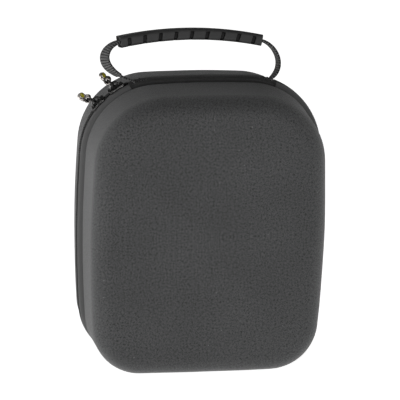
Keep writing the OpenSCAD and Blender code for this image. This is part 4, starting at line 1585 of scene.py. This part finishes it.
    def build(self) -> None:
        """Makes and dresses the slider, link, pull and enamel."""
        parts = [self.plate("outer", 4.1 * MM, 1.2 * MM, 5.0 * MM),
                 self.plate("inner", -0.4 * MM, 1.2 * MM, 4.2 * MM),
                 self.flange("front", -1), self.flange("back", 1), self.bridge(), self.neck()]
        slider = merged(f"{self.name}_slider", parts)
        pulled = f"pull_{self.name}_body"
        Dresser.dress(slider, GUNMETAL, "gunmetal", (f"slider_{self.name}",), f"slider_{self.name}_body")
        Dresser.dress(self.link(), GUNMETAL, "gunmetal", (f"link_{self.name}",), pulled)
        Dresser.dress(self.pull(), NICKEL, "satin_nickel", (f"pull_{self.name}",), pulled)
        Dresser.dress(self.enamel(), ENAMEL, "yellow_enamel", (f"pull_inlay_{self.name}",), pulled)


# ---------------------------------------------------------------- the inside


@dataclass(frozen=True)
class NetKnit(Finish):
    """Open diamond net: two families of slanting strands with knots where they cross."""

    cells: float = 420.0

    def wire(self, w: Wiring) -> dict[str, bpy.types.NodeSocket]:
        """A strand is where the distance to its family's nearest line is small; alpha is 1 on any strand."""
        parts = w.node("SeparateXYZ", {0: self.uv(w)})
        u, v = parts.outputs[0], parts.outputs[1]
        near = []
        for sign in (1.0, -1.0):
            line = w.math("ADD", w.math("MULTIPLY", u, self.cells),
                          w.math("MULTIPLY", v, sign * self.cells * 0.8))
            near.append(w.math("PINGPONG", line, 0.5))
        strand = w.math("MINIMUM", near[0], near[1])
        knot = w.math("ADD", near[0], near[1])
        solid = w.math("MAXIMUM", w.math("LESS_THAN", strand, 0.13), w.math("LESS_THAN", knot, 0.3))
        fibre = w.noise(self.place(w), 3000.0, 2.0)
        dark = tuple(0.5 * c for c in self.colour[:3]) + (1.0,)
        rough = w.remap(fibre, 0.3, 0.7, self.roughness - 0.1, self.roughness + 0.1)
        height = w.remap(strand, 0.0, 0.13, 1.0, 0.0)
        return {"colour": w.blend(fibre, dark, self.colour), "roughness": rough, "height": height,
                "alpha": solid}


NET_CLOTH = NetKnit("net_cloth", grey(0.03), 0.6, 0.5, 0.2 * MM, 0.2)


@dataclass(frozen=True)
class NetPocket:
    """The net pocket in the lid: the net, its gathered elastic hem and the tape round its lower edge."""

    inset: float = 6.1 * MM
    top: float = 96 * MM
    hem: float = 7 * MM
    depth: float = 11 * MM

    def half_width(self, z: np.ndarray, inset: float) -> np.ndarray:
        """Half the width of the inset outline at a height, read off its right half."""
        normals = np.linspace(-np.pi / 2, np.pi / 2, 721)
        xz = OUTLINE.at(normals, -inset)
        return np.interp(z, xz[:, 1], xz[:, 0])

    def slack(self, x: np.ndarray, z: np.ndarray) -> np.ndarray:
        """How far the net stands into the lid: a shallow belly, and gathers that deepen towards the hem."""
        t = np.clip(z / self.top, 0.0, 1.0)
        belly = 2.2 * np.sin(np.pi * np.clip(t, 0, 1)) * np.cos(np.pi * x / (170 * MM))
        gather = 0.55 * t**4 * (np.sin(x / (1.9 * MM)) + 0.5 * np.sin(x / (3.1 * MM) + 1.3))
        return (belly + gather) * MM

    def sheet_rings(self, low: float, high: float, rows: int, inset: float, depth: float, thick: float,
                    pleat: float = 1.0) -> tuple[np.ndarray, np.ndarray]:
        """Rings of a thin closed sheet across the pocket between two heights, and their UVs.

        Args:
            low: height of its lower edge.
            high: height of its upper edge.
            rows: rings from edge to edge.
            inset: how far its sides stand in from the outline.
            depth: how far it lies in from the mouth, in the lid.
            thick: its thickness.
            pleat: share of the net's slack that it follows.

        Returns:
            Points, shape (rows, n, 3), and UVs, shape (rows, n + 1, 2).
        """
        z = np.linspace(low, high, rows)[:, None]
        u = np.linspace(-1.0, 1.0, 181)[None]
        x = u * self.half_width(z, inset)
        y = -depth - pleat * self.slack(x, z)
        z = np.broadcast_to(z, x.shape)
        front = np.stack([x, y + thick / 2, z], -1)
        back = np.stack([x, y - thick / 2, z], -1)
        rings = np.concatenate([front, back[:, ::-1]], axis=1)
        return rings, closed_rings(np.concatenate([front, back[:, ::-1]], axis=1)[..., [0, 2]])

    def build(self) -> None:
        """Makes and dresses the pocket's pieces."""
        low = 6.6 * MM
        rings, uv = self.sheet_rings(low, self.top, 64, self.inset, self.depth + 0.4 * MM, 0.3 * MM)
        net = skin("pocket_net", rings, uv=uv, sharp=80.0)
        Dresser.dress(net, NET_CLOTH, "net_mesh", ("mesh_pocket",), "lid")
        rings, uv = self.sheet_rings(self.top - 0.6 * MM, self.top + self.hem, 9, self.inset,
                                     self.depth + 0.4 * MM,
                                     1.2 * MM, 0.8)
        bulge = np.sin(np.linspace(0.12, np.pi - 0.12, 9))[:, None]
        count = rings.shape[1] // 2
        rings[:, :count, 1] += 0.5 * MM * (bulge - 1)
        rings[:, count:, 1] -= 0.5 * MM * (bulge - 1)
        hem = skin("pocket_hem", rings, uv=uv[..., ::-1], sharp=80.0)
        Dresser.dress(hem, ELASTIC, "webbing_fabric", ("pocket_elastic",), "lid")
        self.build_edging()

    def build_edging(self) -> None:
        """The folded tape round the net's sides and bottom."""
        fine = np.linspace(np.pi, 2 * np.pi, 4001)
        height = OUTLINE.at(fine, -self.inset)[:, 1]
        start = fine[np.argmin(np.abs(height[:2000] - self.top))]
        normals = even_normals(start, 3 * np.pi - start, 2.5 * MM, -self.inset)
        box = rounded_box(3.0 * MM, 0.9 * MM, 0.35 * MM, corner=3, side=2)
        off = -self.inset - 1.2 * MM + box[None, :, 0]
        rings = on_outline(normals[:, None], -(self.depth - 0.35 * MM) + box[None, :, 1], off)
        Dresser.dress(skin("pocket_edging", rings), BINDING_TAPE, "tape_fabric", ("pocket_binding",), "lid")


@dataclass(frozen=True)
class CradlePad:
    """The padded island on the base's floor that fills the space inside the headband."""

    width: float = 58 * MM
    height: float = 104 * MM
    floor: float = 47.1 * MM
    top: float = 25.6 * MM

    def build(self) -> None:
        """Makes and dresses the pad: a round-ended block, soft edges, a crowned top and a drawn-in seam."""
        normals = np.concatenate([np.linspace(0, np.pi, 49), np.linspace(np.pi, 2 * np.pi, 49)])
        normals = np.delete(normals, 97)
        up = np.where(np.arange(97) < 49, 1.0, -1.0) * (self.height - self.width) / 2
        a = np.linspace(0.0, np.pi / 2, 12)
        edge = 8 * MM
        depth = [self.floor, self.floor - 0.6 * MM,
                 *np.linspace(self.floor - 3 * MM, self.top + edge + 1.2 * MM, 6)]
        inset = [1.4 * MM, 0.3 * MM, 0, 0, 0, 0.4 * MM, 0.1 * MM, 0]
        depth += list(self.top + edge + 1.2 * MM - edge * np.sin(a[1:]))
        inset += list(edge * (1 - np.cos(a[1:])))
        for t in np.linspace(0.1, 1.0, 12):
            inset.append(edge + (self.width / 2 - edge - 0.4 * MM) * t)
            depth.append(self.top + 1.2 * MM - 1.2 * MM * np.sin(t * np.pi / 2))
        depth, inset = np.array(depth)[:, None], np.array(inset)[:, None]
        radius = self.width / 2 - inset
        x = radius * np.cos(normals)[None]
        z = OUTLINE.mid_z + up[None] + radius * np.sin(normals)[None]
        y = depth + (0.25 * MM * (np.sin(70 * x + 51 * z) + np.sin(88 * z - 40 * x))
                     * (depth < self.floor - MM))
        pad = skin("cradle_cushion", np.stack([x, y, z], -1), uv=None, sharp=60.0)
        Dresser.dress(pad, PAD_PILE, "lining_fabric", ("cradle_pad",), "base")
        self.build_piping(normals, up)

    def build_piping(self, normals: np.ndarray, up: np.ndarray) -> None:
        """The piping sewn in round the pad's upper edge.

        Args:
            normals: the angles round the pad.
            up: how far each point's round end is centred above the pad's middle height.
        """
        radius = self.width / 2 - 2.0 * MM
        path = np.stack([
            radius * np.cos(normals),
            np.full(len(normals), self.top + 4.1 * MM),
            OUTLINE.mid_z + up + radius * np.sin(normals),
        ], 1)
        out = outward(normals)
        across = np.tile([0.0, -1.0, 0.0], (len(path), 1))
        turn = np.arange(10) * np.pi / 5
        cord = 0.9 * MM * np.stack([np.cos(turn), np.sin(turn)], 1)
        piece = skin("cradle_piping", swept(path, across, out, cord), looped=True)
        Dresser.dress(piece, BINDING_TAPE, "tape_fabric", (), "base")


# ---------------------------------------------------------------- the studio


@dataclass(frozen=True)
class Lamp:
    """A large soft rectangular light aimed at a point."""

    name: str
    place: tuple[float, float, float]
    aim: tuple[float, float, float]
    size: tuple[float, float]
    power: float

    def build(self) -> None:
        """Adds the light."""
        light = bpy.data.lights.new(self.name, "AREA")
        light.shape = "RECTANGLE"
        light.size, light.size_y = self.size
        light.energy = self.power
        thing = bpy.data.objects.new(self.name, light)
        bpy.context.scene.collection.objects.link(thing)
        thing.location = self.place
        away = Vector(self.place) - Vector(self.aim)
        thing.rotation_euler = away.to_track_quat("Z", "Y").to_euler()


@dataclass
class Studio:
    """A plain pale floor, soft white surroundings, lamps and the camera."""

    azimuth: float = -11.0
    elevation: float = 15.0
    roll: float = 1.5
    distance: float = 2.2
    lens: float = 282.5
    floor_seen: float = 0.95
    floor_thrown: float = 0.62
    surroundings: float = 0.05
    lamps: list[Lamp] = field(default_factory=list)

    def build_floor(self) -> None:
        """A wide pale floor, just under what the case stands on."""
        mesh = bpy.data.meshes.new("studio_floor")
        edge = 12.0
        corners = [(-edge, -edge, -0.0002), (edge, -edge, -0.0002), (edge, edge, -0.0002),
                   (-edge, edge, -0.0002)]
        mesh.from_pydata(corners, [], [(0, 1, 2, 3)])
        floor = bpy.data.objects.new("studio_floor", mesh)
        bpy.context.scene.collection.objects.link(floor)
        material = bpy.data.materials.new("studio_floor")
        material.use_nodes = True
        w = Wiring(material.node_tree)
        shader = material.node_tree.nodes["Principled BSDF"]
        cloud = w.noise(Finish.place(w), 3.0)
        w.feed(shader.inputs["Base Color"], w.blend(cloud, (0.93, 0.93, 0.93, 1.0), (0.96, 0.96, 0.96, 1.0)))
        w.feed(shader.inputs["Roughness"], w.remap(cloud, 0.3, 0.7, 0.6, 0.7))
        w.feed(shader.inputs["Emission Color"], w.blend(cloud, (0.98, 0.98, 0.98, 1.0), (1.0, 1.0, 1.0, 1.0)))
        ray = w.node("LightPath").outputs["Is Camera Ray"]
        w.feed(shader.inputs["Emission Strength"], w.remap(ray, 0.0, 1.0, self.floor_thrown, self.floor_seen))
        mesh.materials.append(material)

    def build_world(self, strength: float) -> None:
        """Even near-white surroundings.

        Args:
            strength: their brightness.
        """
        world = bpy.data.worlds.new("studio")
        world.use_nodes = True
        back = world.node_tree.nodes["Background"]
        back.inputs["Color"].default_value = (1.0, 1.0, 1.0, 1.0)
        back.inputs["Strength"].default_value = strength
        bpy.context.scene.world = world

    def build_camera(self) -> None:
        """A long lens from a little above, a little to the left."""
        a, e, roll = np.radians([self.azimuth, self.elevation, self.roll])
        back = np.array([np.sin(a) * np.cos(e), -np.cos(a) * np.cos(e), np.sin(e)])
        right = np.array([np.cos(a), np.sin(a), 0.0])
        up = np.cross(back, right)
        target = np.array([0.0, 0.0, OUTLINE.mid_z]) + 0.8 * MM * right + 11.3 * MM * up
        data = bpy.data.cameras.new("view")
        data.lens = self.lens
        data.sensor_width = 36.0
        data.clip_end = 50.0
        camera = bpy.data.objects.new("view", data)
        bpy.context.scene.collection.objects.link(camera)
        right, up = right * np.cos(roll) + up * np.sin(roll), up * np.cos(roll) - right * np.sin(roll)
        turn = Matrix(np.stack([right, up, back], axis=1).tolist()).to_4x4()
        turn.translation = Vector(target + self.distance * back)
        camera.matrix_world = turn
        bpy.context.scene.camera = camera

    def build(self) -> None:
        """Builds floor, surroundings, lamps and camera."""
        self.build_floor()
        self.build_world(self.surroundings)
        bpy.context.scene.view_settings.view_transform = "Standard"
        for lamp in self.lamps:
            lamp.build()
        self.build_camera()


LAMPS = [
    Lamp("left_bank", (-1.6, 0.1, 0.35), (0.0, 0.0, 0.12), (0.8, 1.2), 12.0),
    Lamp("back_top_bank", (-0.2, 1.1, 1.5), (0.0, 0.2, 0.1), (1.6, 0.9), 2.5),
    Lamp("right_bank", (1.7, 0.2, 0.4), (0.0, 0.0, 0.12), (0.8, 1.2), 6.0),
    Lamp("front_low_bank", (-0.3, -1.9, 0.22), (0.0, 0.0, 0.1), (1.6, 0.3), 11.5),
]


def main() -> None:
    """Builds the case, then the studio."""
    logging.basicConfig(level=logging.INFO, format="%(name)s %(message)s")
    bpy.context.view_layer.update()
    for name, side, crown in (("base", 1, 0.0), ("lid", -1, 2 * MM)):
        HalfShell(name, side, crown).build()
        ZipperSide(name, side).build()
    FabricHinge().build()
    CarryHandle().build()
    ZipSlider("lower", Place.LOWER).build()
    ZipSlider("upper", Place.UPPER).build()
    NetPocket().build()
    CradlePad().build()
    log.info("%d pieces in all", Dresser.count)
    Studio(lamps=LAMPS).build()


if __name__ == "__main__":
    main()
